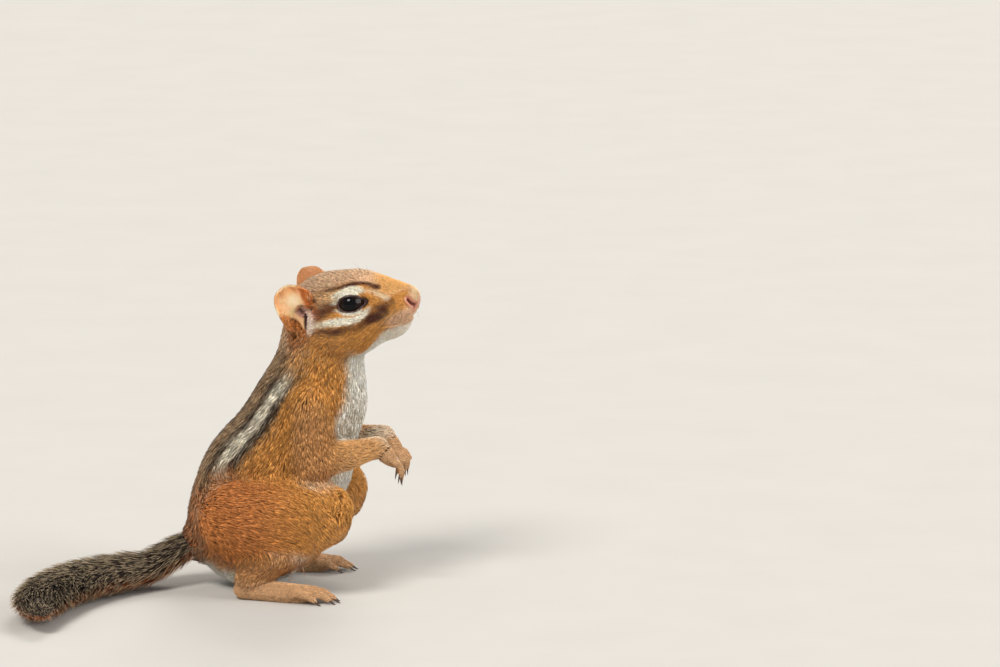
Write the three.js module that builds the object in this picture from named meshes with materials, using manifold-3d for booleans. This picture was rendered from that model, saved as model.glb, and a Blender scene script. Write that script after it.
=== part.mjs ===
// An eastern chipmunk, life size, sitting up on its haunches as a still display model.
// Millimetres, +Z up. It faces +X, its left side is +Y, and it sits on the plane z = 0.
// Every soft form is a field: a few balls and tapered limbs of named sizes, melted together.
// A skin is drawn where the field is zero, ring by ring along a spine, and neighbours are cut
// clear of each other by one thin joint line.

import * as THREE from "three";
import { LoftGeometry } from "three/addons/geometries/LoftGeometry.js";
import { mergeVertices } from "three/addons/utils/BufferGeometryUtils.js";
import Module from "manifold-3d";

const wasm = await Module();
wasm.setup();

const { cos, sin, min, max, abs, sqrt, hypot, PI } = Math;
const v = (x, y, z) => new THREE.Vector3(x, y, z);
const radians = THREE.MathUtils.degToRad;
const lerp = THREE.MathUtils.lerp;
const FORWARD = v(1, 0, 0);
const LEFT = v(0, 1, 0);
const UP = v(0, 0, 1);
const mirrored = (p, side) => v(p.x, p.y * side, p.z); // side is 1 for left and -1 for right

// Driving sizes

const JOINT = 0.3; // joint line between touching pieces
const EYE_HEIGHT = 88; // middle of the eyes above the floor
const HEAD_PITCH = 17; // nose up, degrees
const HEAD_YAW = -8; // nose to the animal's right, degrees
const HEAD_SHIFT = -1.9; // keeps the back of the turned head over the neck
const EYE_RADIUS = 4.1;
const EAR_LENGTH = 16;
const EAR_WIDTH = 10;
const FOOT_LENGTH = 34; // heel to the tips of the claws
const HAND_LENGTH = 15;
const TAIL_LENGTH = 92; // from the rump to the tip of the brush

// Fields: the signed distance from a point to a form, near enough for skinning

// A ball with three radii. Tilt, in degrees, lifts its front.
function ball(center, radii, tilt = 0) {
  const c = cos(radians(tilt));
  const s = sin(radians(tilt));
  const least = min(radii.x, radii.y, radii.z);
  return (p) => {
    const dx = p.x - center.x;
    const dz = p.z - center.z;
    const x = (c * dx + s * dz) / radii.x;
    const y = (p.y - center.y) / radii.y;
    const z = (c * dz - s * dx) / radii.z;
    const scaled = hypot(x, y, z);
    const slope = hypot(x / radii.x, y / radii.y, z / radii.z);
    return slope < 1e-9 ? -least : (scaled * (scaled - 1)) / slope;
  };
}

// A limb from a to b with round ends of two radii.
function limb(a, radiusA, b, radiusB) {
  const axis = b.clone().sub(a);
  const length2 = axis.lengthSq();
  return (p) => {
    const dx = p.x - a.x;
    const dy = p.y - a.y;
    const dz = p.z - a.z;
    const along = (dx * axis.x + dy * axis.y + dz * axis.z) / length2;
    const t = min(max(along, 0), 1);
    const away = hypot(dx - t * axis.x, dy - t * axis.y, dz - t * axis.z);
    return away - lerp(radiusA, radiusB, t);
  };
}

// Melts forms together over a distance of soft.
function melt(soft, ...forms) {
  return (p) => {
    let d = forms[0](p);
    for (let i = 1; i < forms.length; i++) {
      const e = forms[i](p);
      const near = max(soft - abs(d - e), 0) / soft;
      d = min(d, e) - (near * near * soft) / 4;
    }
    return d;
  };
}

// The same form on both sides of the middle plane.
function paired(form) {
  const q = v(0, 0, 0);
  return (p) => form(q.set(p.x, abs(p.y), p.z));
}

// Geometry

// Ring frame at t on a curve: the tangent, the given side made square to it, and their cross.
function frameAt(curve, t, side) {
  const tangent = curve.getTangentAt(t);
  const a = side.clone().addScaledVector(tangent, -side.dot(tangent)).normalize();
  const b = v(0, 0, 0).crossVectors(tangent, a);
  return { origin: curve.getPointAt(t), tangent, a, b };
}

// The point where a ray that starts inside a field leaves it, or its surface grown outwards.
function leave(field, origin, direction, grow) {
  const p = v(0, 0, 0);
  const value = (r) => field(p.copy(origin).addScaledVector(direction, r)) - grow;
  const step = 0.25;
  let inside = 0;
  let outside = step;
  while (value(outside) < 0) {
    inside = outside;
    outside += step;
  }
  for (let i = 0; i < 14; i++) {
    const middle = (inside + outside) / 2;
    if (value(middle) < 0) inside = middle;
    else outside = middle;
  }
  return origin.clone().addScaledVector(direction, outside);
}

// Skins a field with rings along a spine, which fan out to a pole at both ends.
function skin(field, spine, { along, ends, sides, grow = 0, side = LEFT }) {
  const sections = [];
  const ring = (t, tilt) => {
    const { origin, tangent, a, b } = frameAt(spine, t, side);
    const points = [];
    for (let j = 0; j < sides; j++) {
      const turn = (2 * PI * j) / sides;
      const direction = v(0, 0, 0)
        .addScaledVector(a, cos(turn) * cos(tilt))
        .addScaledVector(b, sin(turn) * cos(tilt))
        .addScaledVector(tangent, sin(tilt));
      points.push(leave(field, origin, direction, grow));
    }
    sections.push(points);
  };
  const poleShare = 0.4; // how far from the pole the first ring lies, in ring spacings
  const fan = (i) => (PI / 2) * (1 - (i + poleShare) / ends);
  for (let i = 0; i < ends; i++) ring(0, -fan(i));
  for (let i = 0; i <= along; i++) ring(i / along, 0);
  for (let i = ends - 1; i >= 0; i--) ring(1, fan(i));
  return new LoftGeometry(sections, { capStart: true, capEnd: true });
}

// A closed tube along points. sizes are the half sizes {a, b} of the rings, spread evenly along it.
function tube(points, sizes, { sides, side = LEFT }) {
  const curve = points.length === 2 ? new THREE.LineCurve3(...points) : new THREE.CatmullRomCurve3(points);
  const sections = sizes.map((size, i) => {
    const { origin, a, b } = frameAt(curve, i / (sizes.length - 1), side);
    return Array.from({ length: sides }, (_, j) => {
      const turn = (2 * PI * (j + 0.5)) / sides;
      return origin
        .clone()
        .addScaledVector(a, size.a * cos(turn))
        .addScaledVector(b, size.b * sin(turn));
    });
  });
  return new LoftGeometry(sections, { capStart: true, capEnd: true });
}

const round = (radius) => ({ a: radius, b: radius });

// A three.js geometry as a solid that can be joined and cut, placed by a matrix.
function solid(geometry, matrix = new THREE.Matrix4()) {
  const bare = new THREE.BufferGeometry();
  bare.setAttribute("position", geometry.getAttribute("position").clone());
  bare.setIndex(geometry.index);
  const merged = mergeVertices(bare.applyMatrix4(matrix), 1e-4);
  const mesh = new wasm.Mesh({
    numProp: 3,
    vertProperties: new Float32Array(merged.attributes.position.array),
    triVerts: new Uint32Array(merged.index.array),
  });
  return new wasm.Manifold(mesh);
}

const cut = (form, ...cutters) => cutters.reduce((left, cutter) => left.subtract(cutter), form);
const join = (...forms) => forms.reduce((all, form) => all.add(form));

// The largest closed surface of a solid, back as a geometry.
function largest(form) {
  const bodies = form.decompose();
  const best = bodies.reduce((a, b) => (a.volume() > b.volume() ? a : b));
  const mesh = best.getMesh();
  const geometry = new THREE.BufferGeometry();
  geometry.setAttribute("position", new THREE.BufferAttribute(mesh.vertProperties, 3));
  geometry.setIndex(new THREE.BufferAttribute(mesh.triVerts, 1));
  geometry.computeVertexNormals();
  return geometry;
}

const slab = (size, z) => new THREE.BoxGeometry(size.x, size.y, size.z).translate(0, 0, z);
const FLOOR = solid(slab(v(400, 400, 40), -20));

// Materials

const finish = (color, roughness) => new THREE.MeshStandardMaterial({ color, roughness, metalness: 0 });
const COAT_BACK = finish("#8a6743", 0.9);
const COAT_HEAD = finish("#a8794a", 0.9);
const COAT_LIMB = finish("#b98a57", 0.9);
const COAT_TAIL = finish("#6d5238", 0.9);
const EAR_SKIN = finish("#d9a878", 0.7);
const NOSE_SKIN = finish("#c9967c", 0.5);
const PAW_SKIN = finish("#c39a78", 0.7);
const EYE_GLOSS = finish("#120b08", 0.05);

// Trunk: rump, belly, ribs and neck in one form, parted by a cut at the shoulders

const RUMP = { center: v(-31, 0, 21), radii: v(20.5, 18.5, 21.3) };
const BELLY = { center: v(-23, 0, 37), radii: v(22, 19, 18) };
const RIBS = { center: v(-16, 0, 53), radii: v(16, 15.5, 15.5) };
const NAPE = { low: v(-13.6, 0, 60), lowRadius: 11.8, high: v(-12.4, 0, 80), highRadius: 9.4 };
const THROAT = { low: v(-8.5, 0, 58), lowRadius: 10, high: v(-7.5, 0, 75), highRadius: 9.4 };
const TRUNK_FIELD = melt(
  9,
  ball(RUMP.center, RUMP.radii),
  ball(BELLY.center, BELLY.radii),
  ball(RIBS.center, RIBS.radii),
  limb(NAPE.low, NAPE.lowRadius, NAPE.high, NAPE.highRadius),
  limb(THROAT.low, THROAT.lowRadius, THROAT.high, THROAT.highRadius),
);
const TRUNK_SPINE = new THREE.CatmullRomCurve3([
  v(-35, 0, 15),
  v(-29, 0, 27),
  v(-23, 0, 41),
  v(-16.5, 0, 56),
  v(-12.5, 0, 68),
  v(-11, 0, 80),
]);
const TRUNK_MESH = { along: 15, ends: 4, sides: 26 };
const NECK_CUT = { height: 64.5, slope: 10 }; // degrees that the cut drops towards the back

// Head, in its own level frame: the middle of the eyes is the origin, the nose is at +X

const EYE = { center: v(0.3, 6.3, -0.1), look: v(0.2, 0.96, 0.1).normalize() };
const HEAD_FIELD = melt(
  3.6,
  ball(v(-7.5, 0, 0.1), v(13.5, 10.4, 10.3)), // braincase
  ball(v(2.5, 0, 0.6), v(9, 6.9, 7.9)), // forehead
  ball(v(9, 0, -1.8), v(7, 5.2, 6.0), -32), // bridge of the nose
  limb(v(12.5, 0, -2.6), 4.9, v(16.3, 0, -3.1), 3.7), // muzzle
  paired(ball(v(-4.5, 6.2, -6.9), v(11.5, 6.4, 8.6))), // cheeks
  paired(ball(v(7, 3.1, -4.2), v(7, 3.6, 5))), // sides of the muzzle
  paired(ball(v(12.2, 2.7, -6.4), v(4.8, 2.9, 3.3))), // upper lips, under the whiskers
  ball(v(10.4, 0, -10.6), v(4.0, 3.0, 2.5)), // chin
  limb(v(-1.5, 0, -9.8), 6.6, v(8.5, 0, -9.9), 3.9), // lower jaw
  paired(ball(v(0.5, 6.2, 3.6), v(5, 2.2, 2.0))), // brow
  paired(ball(v(0.3, 6.0, -3.6), v(5, 2.3, 2.0))), // below the eye
  paired(ball(v(-15, 6.3, -2.2), v(4.4, 3.4, 6))), // foot of the ear
);
const HEAD_SPINE = new THREE.CatmullRomCurve3([
  v(-11, 0, -1.5),
  v(-3, 0, -1.8),
  v(6, 0, -3.6),
  v(12, 0, -4.9),
  v(15, 0, -4.6),
]);
const HEAD_MESH = { along: 18, ends: 5, sides: 32 };
const HEAD_ROOM_MESH = { along: 12, ends: 5, sides: 26, grow: JOINT + 0.15 }; // a coarser one to cut the neck

const LID = { length: 3.55, height: 2.95, corner: 0.5, tube: 0.5, seat: 0.25, points: 20 };
const MOUTH = {
  line: [v(19.5, 0, -8.6), v(15.5, 0, -9.3), v(12, 0, -9.9), v(8.2, 0, -9.4)],
  width: 0.5,
  depth: 0.9,
};
const NOSE = { center: v(18.8, 0, -4.6), radii: v(3.2, 3.9, 3.3) };

// A smooth egg shape, or one grown on all sides.
const oval = (center, radii, grow = 0) =>
  new THREE.SphereGeometry(1, 14, 9)
    .scale(radii.x + grow, radii.y + grow, radii.z + grow)
    .translate(center.x, center.y, center.z);

const eyeball = (side, radius) => oval(mirrored(EYE.center, side), v(radius, radius, radius));

// The rim of the lids: a ring that hugs the eyeball, drawn out to a corner at the front.
function lidRing(side) {
  const center = mirrored(EYE.center, side);
  const look = mirrored(EYE.look, side);
  const ahead = FORWARD.clone().addScaledVector(look, -look.x).normalize();
  const above = v(0, 0, 0).crossVectors(look, ahead).multiplyScalar(-side);
  const points = Array.from({ length: LID.points }, (_, i) => {
    const turn = (2 * PI * i) / LID.points;
    const x = LID.length * cos(turn) + LID.corner * max(0, cos(turn)) ** 5;
    const y = LID.height * sin(turn);
    const depth = sqrt((EYE_RADIUS + LID.seat) ** 2 - x * x - y * y);
    return center.clone().addScaledVector(look, depth).addScaledVector(ahead, x).addScaledVector(above, y);
  });
  const section = new THREE.Shape().absarc(0, 0, LID.tube, 0, 2 * PI);
  return new THREE.ExtrudeGeometry(section, {
    steps: LID.points,
    curveSegments: 3,
    extrudePath: new THREE.CatmullRomCurve3(points, true),
  });
}

// A ribbon along points in the middle plane, wide across the head.
function ribbon(points, thickness, halfWidth) {
  const curve = new THREE.CatmullRomCurve3(points);
  const rings = 8;
  const corners = [
    [1, 1],
    [-1, 1],
    [-1, -1],
    [1, -1],
  ];
  const sections = Array.from({ length: rings + 1 }, (_, i) => {
    const { origin, a, b } = frameAt(curve, i / rings, LEFT);
    return corners.map(([m, n]) =>
      origin
        .clone()
        .addScaledVector(a, m * halfWidth)
        .addScaledVector(b, (n * thickness) / 2),
    );
  });
  return new LoftGeometry(sections, { capStart: true, capEnd: true });
}

// A nostril: a comma-shaped pit that curls back and out from the tip of the nose.
const NOSTRIL = [v(19.2, 1.3, -6.1), v(18.4, 2.5, -5.8), v(17.7, 3.6, -5.1), v(17.1, 4.1, -3.9)];
const nostril = (side) =>
  tube(NOSTRIL.map((p) => mirrored(p, side)), [0.5, 0.75, 0.6, 0.15].map(round), { sides: 6, side: UP });

// Ears: a cup whose section is a crescent, a narrow gutter at the root and round at the top

const EAR = {
  root: v(-15, 10.3, -5.5),
  lift: v(-0.02, 0.26, 0.96).normalize(), // from root to top
  open: v(0.24, 0.96, -0.12).normalize(), // the way the cup faces
  rootWidth: 6.4,
  widest: 0.6, // share of the length where the ear is widest
  rootCup: 3.4,
  topCup: 2.0,
  thickness: 0.9,
  backLean: 1.4,
  tuck: 3.4, // how far the root turns in under the skin
};
const LEFT_EAR = { raise: v(-0.4, 0, 1.8), turn: 3 }; // it stands higher and further ahead than the right
const CONCHA = { center: v(-14.6, 12.4, -0.6), radii: v(2.9, 3.3, 4.9) }; // hollow inside the cup

function earCup(side) {
  const turned = (p) => p.clone().applyAxisAngle(v(0, 1, 0), side > 0 ? radians(LEFT_EAR.turn) : 0);
  const lift = mirrored(turned(EAR.lift), side);
  const open = mirrored(turned(EAR.open), side).addScaledVector(lift, -EAR.open.dot(EAR.lift)).normalize();
  const across = v(0, 0, 0).crossVectors(lift, open).multiplyScalar(side);
  const root = mirrored(EAR.root, side);
  if (side > 0) root.add(LEFT_EAR.raise);
  const rows = 10;
  const columns = 8;
  const sections = [];
  for (let i = 0; i <= rows; i++) {
    const t = sin((i / rows) * (PI / 2)) * 0.988;
    const over = max(0, (t - EAR.widest) / (1 - EAR.widest));
    const opening = sin((min(1, t / EAR.widest) * PI) / 2);
    const half = lerp(EAR.rootWidth, EAR_WIDTH, opening) * 0.5 * (1 - over ** 2.7) ** (1 / 2.7);
    const cup = lerp(EAR.rootCup, EAR.topCup, t) * min(1, half / 2);
    const lean = EAR.backLean * t * t + EAR.tuck * max(0, 1 - t / 0.3) ** 2;
    const at = (s, sheet) =>
      root
        .clone()
        .addScaledVector(lift, EAR_LENGTH * t)
        .addScaledVector(across, s * (half + (sheet * EAR.thickness) / 4))
        .addScaledVector(open, cup * (abs(s) ** 2.2 - 1) - (sheet * EAR.thickness) / 2 - lean);
    const inner = [];
    const outer = [];
    for (let j = 0; j <= columns; j++) {
      const s = sin(((j / columns) * 2 - 1) * (PI / 2));
      inner.push(at(s, -1));
      outer.unshift(at(s, 1));
    }
    const section = [...inner, ...outer];
    sections.push(side > 0 ? section : section.reverse());
  }
  return new LoftGeometry(sections, { capStart: true, capEnd: true });
}

// Legs. Points are for the left leg; the right one is mirrored.

const ARM = {
  shoulder: v(-13, 10, 57),
  elbow: v(-11, 18, 40.5),
  wrist: v(7.5, 9, 45),
  shoulderRadius: 9.2,
  elbowRadius: 5.4,
  wristRadius: 3.2,
};
const HAUNCH = { center: v(-24, 15.5, 22.5), radii: v(19, 9.6, 16.5), tilt: 8 };
const LEG = {
  hip: v(-35, 12, 23),
  knee: v(-6.5, 19, 27.5),
  shinTop: v(-6.5, 19, 23.5),
  ankle: v(-30, 19.5, 7),
  hipRadius: 12,
  kneeRadius: 8.2,
  shinRadius: 7,
  ankleRadius: 4.4,
};
const HEEL = { place: v(-34.5, 19.5, 0), turnOut: 8 };
const PAW = { droop: 48, turnIn: 14 }; // degrees
const LIMB_MESH = { along: 5, ends: 3, sides: 14 };
const THIGH_MESH = { along: 6, ends: 3, sides: 16, side: UP };
const THIGH_SPINE = [v(-33, 15, 23), v(-10, 17.5, 25)];
const SHIN_SPINE = [LEG.shinTop, LEG.ankle];
const UPPER_ARM_SPINE = [ARM.shoulder, ARM.elbow];
const FOREARM_SPINE = [ARM.elbow, ARM.wrist];

const sideLimb = (a, radiusA, b, radiusB, side) =>
  limb(mirrored(a, side), radiusA, mirrored(b, side), radiusB);
const upperArmField = (side) => sideLimb(ARM.shoulder, ARM.shoulderRadius, ARM.elbow, ARM.elbowRadius, side);
const forearmField = (side) => sideLimb(ARM.elbow, ARM.elbowRadius, ARM.wrist, ARM.wristRadius, side);
const shinField = (side) => sideLimb(LEG.shinTop, LEG.shinRadius, LEG.ankle, LEG.ankleRadius, side);
const thighField = (side) =>
  melt(
    6,
    ball(mirrored(HAUNCH.center, side), HAUNCH.radii, HAUNCH.tilt),
    sideLimb(LEG.hip, LEG.hipRadius, LEG.knee, LEG.kneeRadius, side),
  );

function limbSkin(field, [from, to], side, mesh) {
  const spine = new THREE.LineCurve3(mirrored(from, side), mirrored(to, side));
  return solid(skin(field, spine, mesh));
}

const footPlace = (side) =>
  new THREE.Matrix4().makeRotationZ(radians(HEEL.turnOut * side)).setPosition(mirrored(HEEL.place, side));

const pawPlace = (side) =>
  new THREE.Matrix4()
    .makeRotationFromEuler(new THREE.Euler(0, radians(PAW.droop), radians(-PAW.turnIn * side), "ZYX"))
    .setPosition(mirrored(ARM.wrist, side));

// One toe or finger with its claw. It arches from its base over a knuckle to the tip.
function digit(base, knuckle, tip, radius, clawLength) {
  const toe = tube([base, knuckle, tip], [0.8, 1, 1, 0.5].map((k) => round(k * radius)), { sides: 6 });
  const ahead = tip.clone().sub(knuckle).normalize();
  const nail = tip.clone().addScaledVector(ahead, -0.6 * radius).addScaledVector(UP, 0.25 * radius);
  const bend = nail.clone().addScaledVector(ahead, 0.6 * clawLength);
  const point = nail.clone().addScaledVector(ahead, clawLength).addScaledVector(UP, -0.38 * clawLength);
  const claw = tube([nail, bend, point], [0.55, 0.42, 0.12].map((k) => round(k * radius)), { sides: 4 });
  return join(solid(toe), solid(claw));
}

// A hind foot in its own frame: the heel at the origin, the toes towards +X, the sole at z = 0.
function hindFoot(side) {
  const scale = FOOT_LENGTH / 34;
  const p = (x, y, z) => v(x, y * side, z).multiplyScalar(scale);
  const sole = melt(
    2.5,
    limb(p(2.6, 0, 2.9), 3.2, p(12, 0, 2.5), 2.7),
    ball(p(19, 0, 2.1), v(6.2, 4.7, 2.5)),
    ball(p(14, 0, 2.3), v(9, 3.3, 2.7)),
  );
  const spine = new THREE.LineCurve3(p(2.6, 0, 2.4), p(20, 0, 2.1));
  let foot = solid(skin(sole, spine, { along: 5, ends: 2, sides: 12 }));
  const toes = 5;
  for (let i = 0; i < toes; i++) {
    const spread = (i - (toes - 1) / 2) / ((toes - 1) / 2); // -1 inner to 1 outer
    const reach = 30.6 - 3.4 * spread ** 4 - 1.2 * abs(spread);
    const start = 19.8 - 2.2 * spread ** 4;
    const y = 3.55 * spread;
    foot = join(
      foot,
      digit(p(start, y, 2.2), p((start + reach) / 2, 1.3 * y, 3.3), p(reach, 1.45 * y, 1.15), 1.3, 3.2),
    );
  }
  return foot;
}

// A forepaw in its own frame: the wrist at the origin, the fingers towards +X, the palm down.
function forePaw(side) {
  const scale = HAND_LENGTH / 15;
  const p = (x, y, z) => v(x, y * side, z).multiplyScalar(scale);
  const palm = melt(
    1.5,
    ball(p(4.2, 0, 0), v(4.4, 3.2, 2.1)),
    limb(p(0, 0, 0), 2.6, p(3, 0, 0), 2.4),
  );
  const spine = new THREE.LineCurve3(p(0.5, 0, 0), p(5, 0, 0));
  let paw = solid(skin(palm, spine, { along: 3, ends: 2, sides: 10 }));
  const fingers = 4;
  for (let i = 0; i < fingers; i++) {
    const spread = (i - (fingers - 1) / 2) / ((fingers - 1) / 2);
    const reach = 12.2 - 1.6 * spread ** 2;
    const y = 2.35 * spread;
    paw = join(paw, digit(p(5.8, y, 0.1), p(9.2, 1.3 * y, 0.9), p(reach, 1.35 * y, -1.4), 1.05, 2.4));
  }
  return paw;
}

// Tail: from the rump it drops to the floor and curves to the animal's right.
// It has a slim core, and a flattened brush of long locks that overlap like shingles to its tip.

const TAIL = {
  root: v(-47, 0, 13),
  startHeading: 198, // degrees from +X, seen from above
  endHeading: 288,
  lieHeight: 6.2, // middle of the tail above the floor
  dropLength: 20,
  halfWidth: 10.5, // out to the tips of the locks
  halfHeight: 6.6,
  taperFrom: 0.74, // share of the length where the brush starts to close
  coreShare: 0.42, // of the way from the middle to the tips
  coreEnd: 0.86,
  lengths: 3,
  names: ["tail_root", "tail_middle", "tail_tip"],
};
const LOCK = {
  rows: 2, // in each length of the tail
  around: 6,
  length: 23,
  halfWidth: 4,
  halfThickness: 0.55,
  rootDepth: 0.2, // share of the way from the middle of the tail to the tips
  taper: [0.55, 1, 0.85, 0.15],
};

// Even numbers from 0 to 1 that are the same on every run.
function seededRandom(seed) {
  let state = seed;
  return () => {
    state = (state * 1664525 + 1013904223) % 4294967296;
    return state / 4294967296;
  };
}

// The middle line of the tail, as points one step apart.
function tailPoints() {
  const steps = 14;
  const stride = TAIL_LENGTH / steps;
  const points = [TAIL.root.clone()];
  const at = TAIL.root.clone();
  for (let i = 1; i <= steps; i++) {
    const heading = radians(lerp(TAIL.startHeading, TAIL.endHeading, (i - 0.5) / steps));
    const drop = min(1, (i * stride) / TAIL.dropLength);
    at.x += stride * cos(heading);
    at.y += stride * sin(heading);
    at.z = lerp(TAIL.root.z, TAIL.lieHeight, drop * drop * (3 - 2 * drop));
    points.push(at.clone());
  }
  return points;
}

const TAIL_CURVE = new THREE.CatmullRomCurve3(tailPoints());

// How full the brush is at a share of the tail's length: 1 at its widest, 0 at its tip.
function brush(t) {
  const fullness = sin(PI * min(1, 0.2 + 0.62 * t)) ** 0.7;
  const close = max(0, (t - TAIL.taperFrom) / (1 - TAIL.taperFrom));
  return fullness * sqrt(max(0.01, 1 - close * close));
}

// The core of one length of the tail, between two shares of the whole length.
function tailCore(from, to, grow) {
  const rings = 4;
  const shares = Array.from({ length: rings + 1 }, (_, i) => lerp(from, to, i / rings) * TAIL.coreEnd);
  const sizes = shares.map((t) => {
    const size = TAIL.coreShare * brush(t) * (1 - 0.35 * t ** 3);
    return { a: size * TAIL.halfHeight + grow, b: size * TAIL.halfWidth + grow };
  });
  return solid(tube(shares.map((t) => TAIL_CURVE.getPointAt(t)), sizes, { sides: 10, side: UP }));
}

// A flat lock. It leaves the core at a slant, bends over and lies along the outside of the brush.
function tailLock({ start, angle, length, lift }, grow) {
  const around = v(0, 0, 0);
  const points = [0, 0.35, 0.7, 1].map((s) => {
    const { origin, a, b } = frameAt(TAIL_CURVE, min(start + (s * length) / TAIL_LENGTH, 1), UP);
    const t = min(start + (s * length) / TAIL_LENGTH, 1);
    const out = lerp(LOCK.rootDepth, 1, 1 - (1 - s) ** 2) * brush(t) * lift;
    around.copy(a).multiplyScalar(cos(angle) * TAIL.halfHeight);
    around.addScaledVector(b, -sin(angle) * TAIL.halfWidth);
    return origin
      .addScaledVector(a, sin(angle) * TAIL.halfHeight * out)
      .addScaledVector(b, cos(angle) * TAIL.halfWidth * out);
  });
  const sizes = LOCK.taper.map((w, i) => ({
    a: LOCK.halfWidth * w * (0.5 + 0.5 * brush(start)) + grow,
    b: LOCK.halfThickness * (i === LOCK.taper.length - 1 ? 0.5 : 1) + grow,
  }));
  return solid(tube(points, sizes, { sides: 4, side: around.normalize() }));
}

// The tail in a few lengths. Each is cut clear of the length before, whose locks lie over it.
function tailLengths() {
  const random = seededRandom(7);
  const gap = JOINT / TAIL_LENGTH;
  const lengths = [];
  let before = [];
  for (let k = 0; k < TAIL.lengths; k++) {
    const from = k / TAIL.lengths + gap;
    const to = (k + 1) / TAIL.lengths;
    const locks = [];
    for (let row = 0; row < LOCK.rows; row++) {
      for (let i = 0; i < LOCK.around; i++) {
        const step = (row + 0.3 + 0.3 * random()) / LOCK.rows;
        locks.push({
          start: lerp(from, to, step) * TAIL.coreEnd,
          angle: (2 * PI * (i + 0.5 * (row % 2) + 0.3 * random())) / LOCK.around,
          length: LOCK.length * (0.9 + 0.2 * random()),
          lift: 0.92 + 0.12 * random(),
        });
      }
    }
    const grown = join(tailCore(from, to, 0), ...locks.map((lock) => tailLock(lock, 0)));
    lengths.push(cut(grown, ...before));
    before = [tailCore(from, to + 0.9 * gap, JOINT), ...locks.map((lock) => tailLock(lock, JOINT))];
  }
  return lengths;
}

// Assembly. Whatever grows from the trunk or the head is cut clear of its room:
// the same form, grown by the joint line.

const SIDES = { left: 1, right: -1 };
const eachSide = (make) => Object.values(SIDES).map(make);
const trunkRoom = solid(skin(TRUNK_FIELD, TRUNK_SPINE, { ...TRUNK_MESH, grow: JOINT }));

const animal = new THREE.Group();
const headGroup = new THREE.Group();
headGroup.position.set(0, HEAD_SHIFT, EYE_HEIGHT);
headGroup.rotation.set(0, radians(-HEAD_PITCH), radians(HEAD_YAW), "ZYX");
headGroup.updateMatrix();
animal.add(headGroup);

function place(group, name, form, material) {
  const mesh = new THREE.Mesh(largest(form), material);
  mesh.name = name;
  group.add(mesh);
}

function addTrunk() {
  const trunk = cut(solid(skin(TRUNK_FIELD, TRUNK_SPINE, TRUNK_MESH)), FLOOR);
  const plane = new THREE.Matrix4()
    .makeRotationY(radians(-NECK_CUT.slope))
    .setPosition(NAPE.low.x, 0, NECK_CUT.height);
  const half = (sign) => solid(slab(v(120, 120, 120), sign * (60 + JOINT / 2)), plane);
  const headRoom = solid(skin(HEAD_FIELD, HEAD_SPINE, HEAD_ROOM_MESH), headGroup.matrix);
  place(animal, "torso", trunk.intersect(half(-1)), COAT_BACK);
  place(animal, "neck", cut(trunk.intersect(half(1)), headRoom), COAT_BACK);
}

function addHead() {
  const within = solid(skin(HEAD_FIELD, HEAD_SPINE, { ...HEAD_MESH, grow: -MOUTH.depth }));
  const mouth = cut(solid(ribbon(MOUTH.line, MOUTH.width, 12)), within);
  const nostrils = eachSide((side) => solid(nostril(side)));
  const sockets = eachSide((side) => solid(eyeball(side, EYE_RADIUS + JOINT)));
  const conchas = eachSide((side) => solid(oval(mirrored(CONCHA.center, side), CONCHA.radii)));
  let head = solid(skin(HEAD_FIELD, HEAD_SPINE, HEAD_MESH));
  head = join(head, ...eachSide((side) => solid(lidRing(side))));
  head = cut(head, mouth, ...sockets, ...nostrils, ...conchas);
  place(headGroup, "head", cut(head, solid(oval(NOSE.center, NOSE.radii, JOINT))), COAT_HEAD);
  place(headGroup, "nose", head.intersect(solid(oval(NOSE.center, NOSE.radii))), NOSE_SKIN);
}

function addEyeAndEar(name, side) {
  const headRoom = solid(skin(HEAD_FIELD, HEAD_SPINE, { ...HEAD_MESH, grow: JOINT }));
  const neckRoom = solid(largest(trunkRoom), headGroup.matrix.clone().invert());
  place(headGroup, `eye_${name}`, solid(eyeball(side, EYE_RADIUS)), EYE_GLOSS);
  place(headGroup, `ear_${name}`, cut(solid(earCup(side)), headRoom, neckRoom), EAR_SKIN);
}

function addLegs(name, side) {
  const thigh = (grow) => limbSkin(thighField(side), THIGH_SPINE, side, { ...THIGH_MESH, grow });
  const shin = (grow) => limbSkin(shinField(side), SHIN_SPINE, side, { ...LIMB_MESH, grow });
  const upperArm = (grow) => limbSkin(upperArmField(side), UPPER_ARM_SPINE, side, { ...LIMB_MESH, grow });
  const forearm = (grow) => limbSkin(forearmField(side), FOREARM_SPINE, side, { ...LIMB_MESH, grow });
  const thighRoom = thigh(JOINT);
  const foot = solid(largest(hindFoot(side)), footPlace(side));
  const paw = solid(largest(forePaw(side)), pawPlace(side));
  place(animal, `thigh_${name}`, cut(thigh(0), trunkRoom, FLOOR), COAT_BACK);
  place(animal, `shin_${name}`, cut(shin(0), trunkRoom, thighRoom, FLOOR), COAT_LIMB);
  place(animal, `hindfoot_${name}`, cut(foot, shin(JOINT), thighRoom, trunkRoom, FLOOR), PAW_SKIN);
  place(animal, `upperarm_${name}`, cut(upperArm(0), trunkRoom, thighRoom), COAT_LIMB);
  place(animal, `forearm_${name}`, cut(forearm(0), trunkRoom, thighRoom, upperArm(JOINT)), COAT_LIMB);
  place(animal, `forepaw_${name}`, cut(paw, forearm(JOINT), trunkRoom), PAW_SKIN);
}

function addTail() {
  tailLengths().forEach((length, i) => {
    place(animal, TAIL.names[i], cut(length, trunkRoom, FLOOR), COAT_TAIL);
  });
}

addTrunk();
addHead();
for (const [name, side] of Object.entries(SIDES)) {
  addEyeAndEar(name, side);
  addLegs(name, side);
}
addTail();

// The origin is the middle of the whole animal's box, on the floor.
animal.updateMatrixWorld(true);
const box = new THREE.Box3().setFromObject(animal, true);
animal.position.set(-(box.min.x + box.max.x) / 2, -(box.min.y + box.max.y) / 2, 0);

export default animal;
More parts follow.
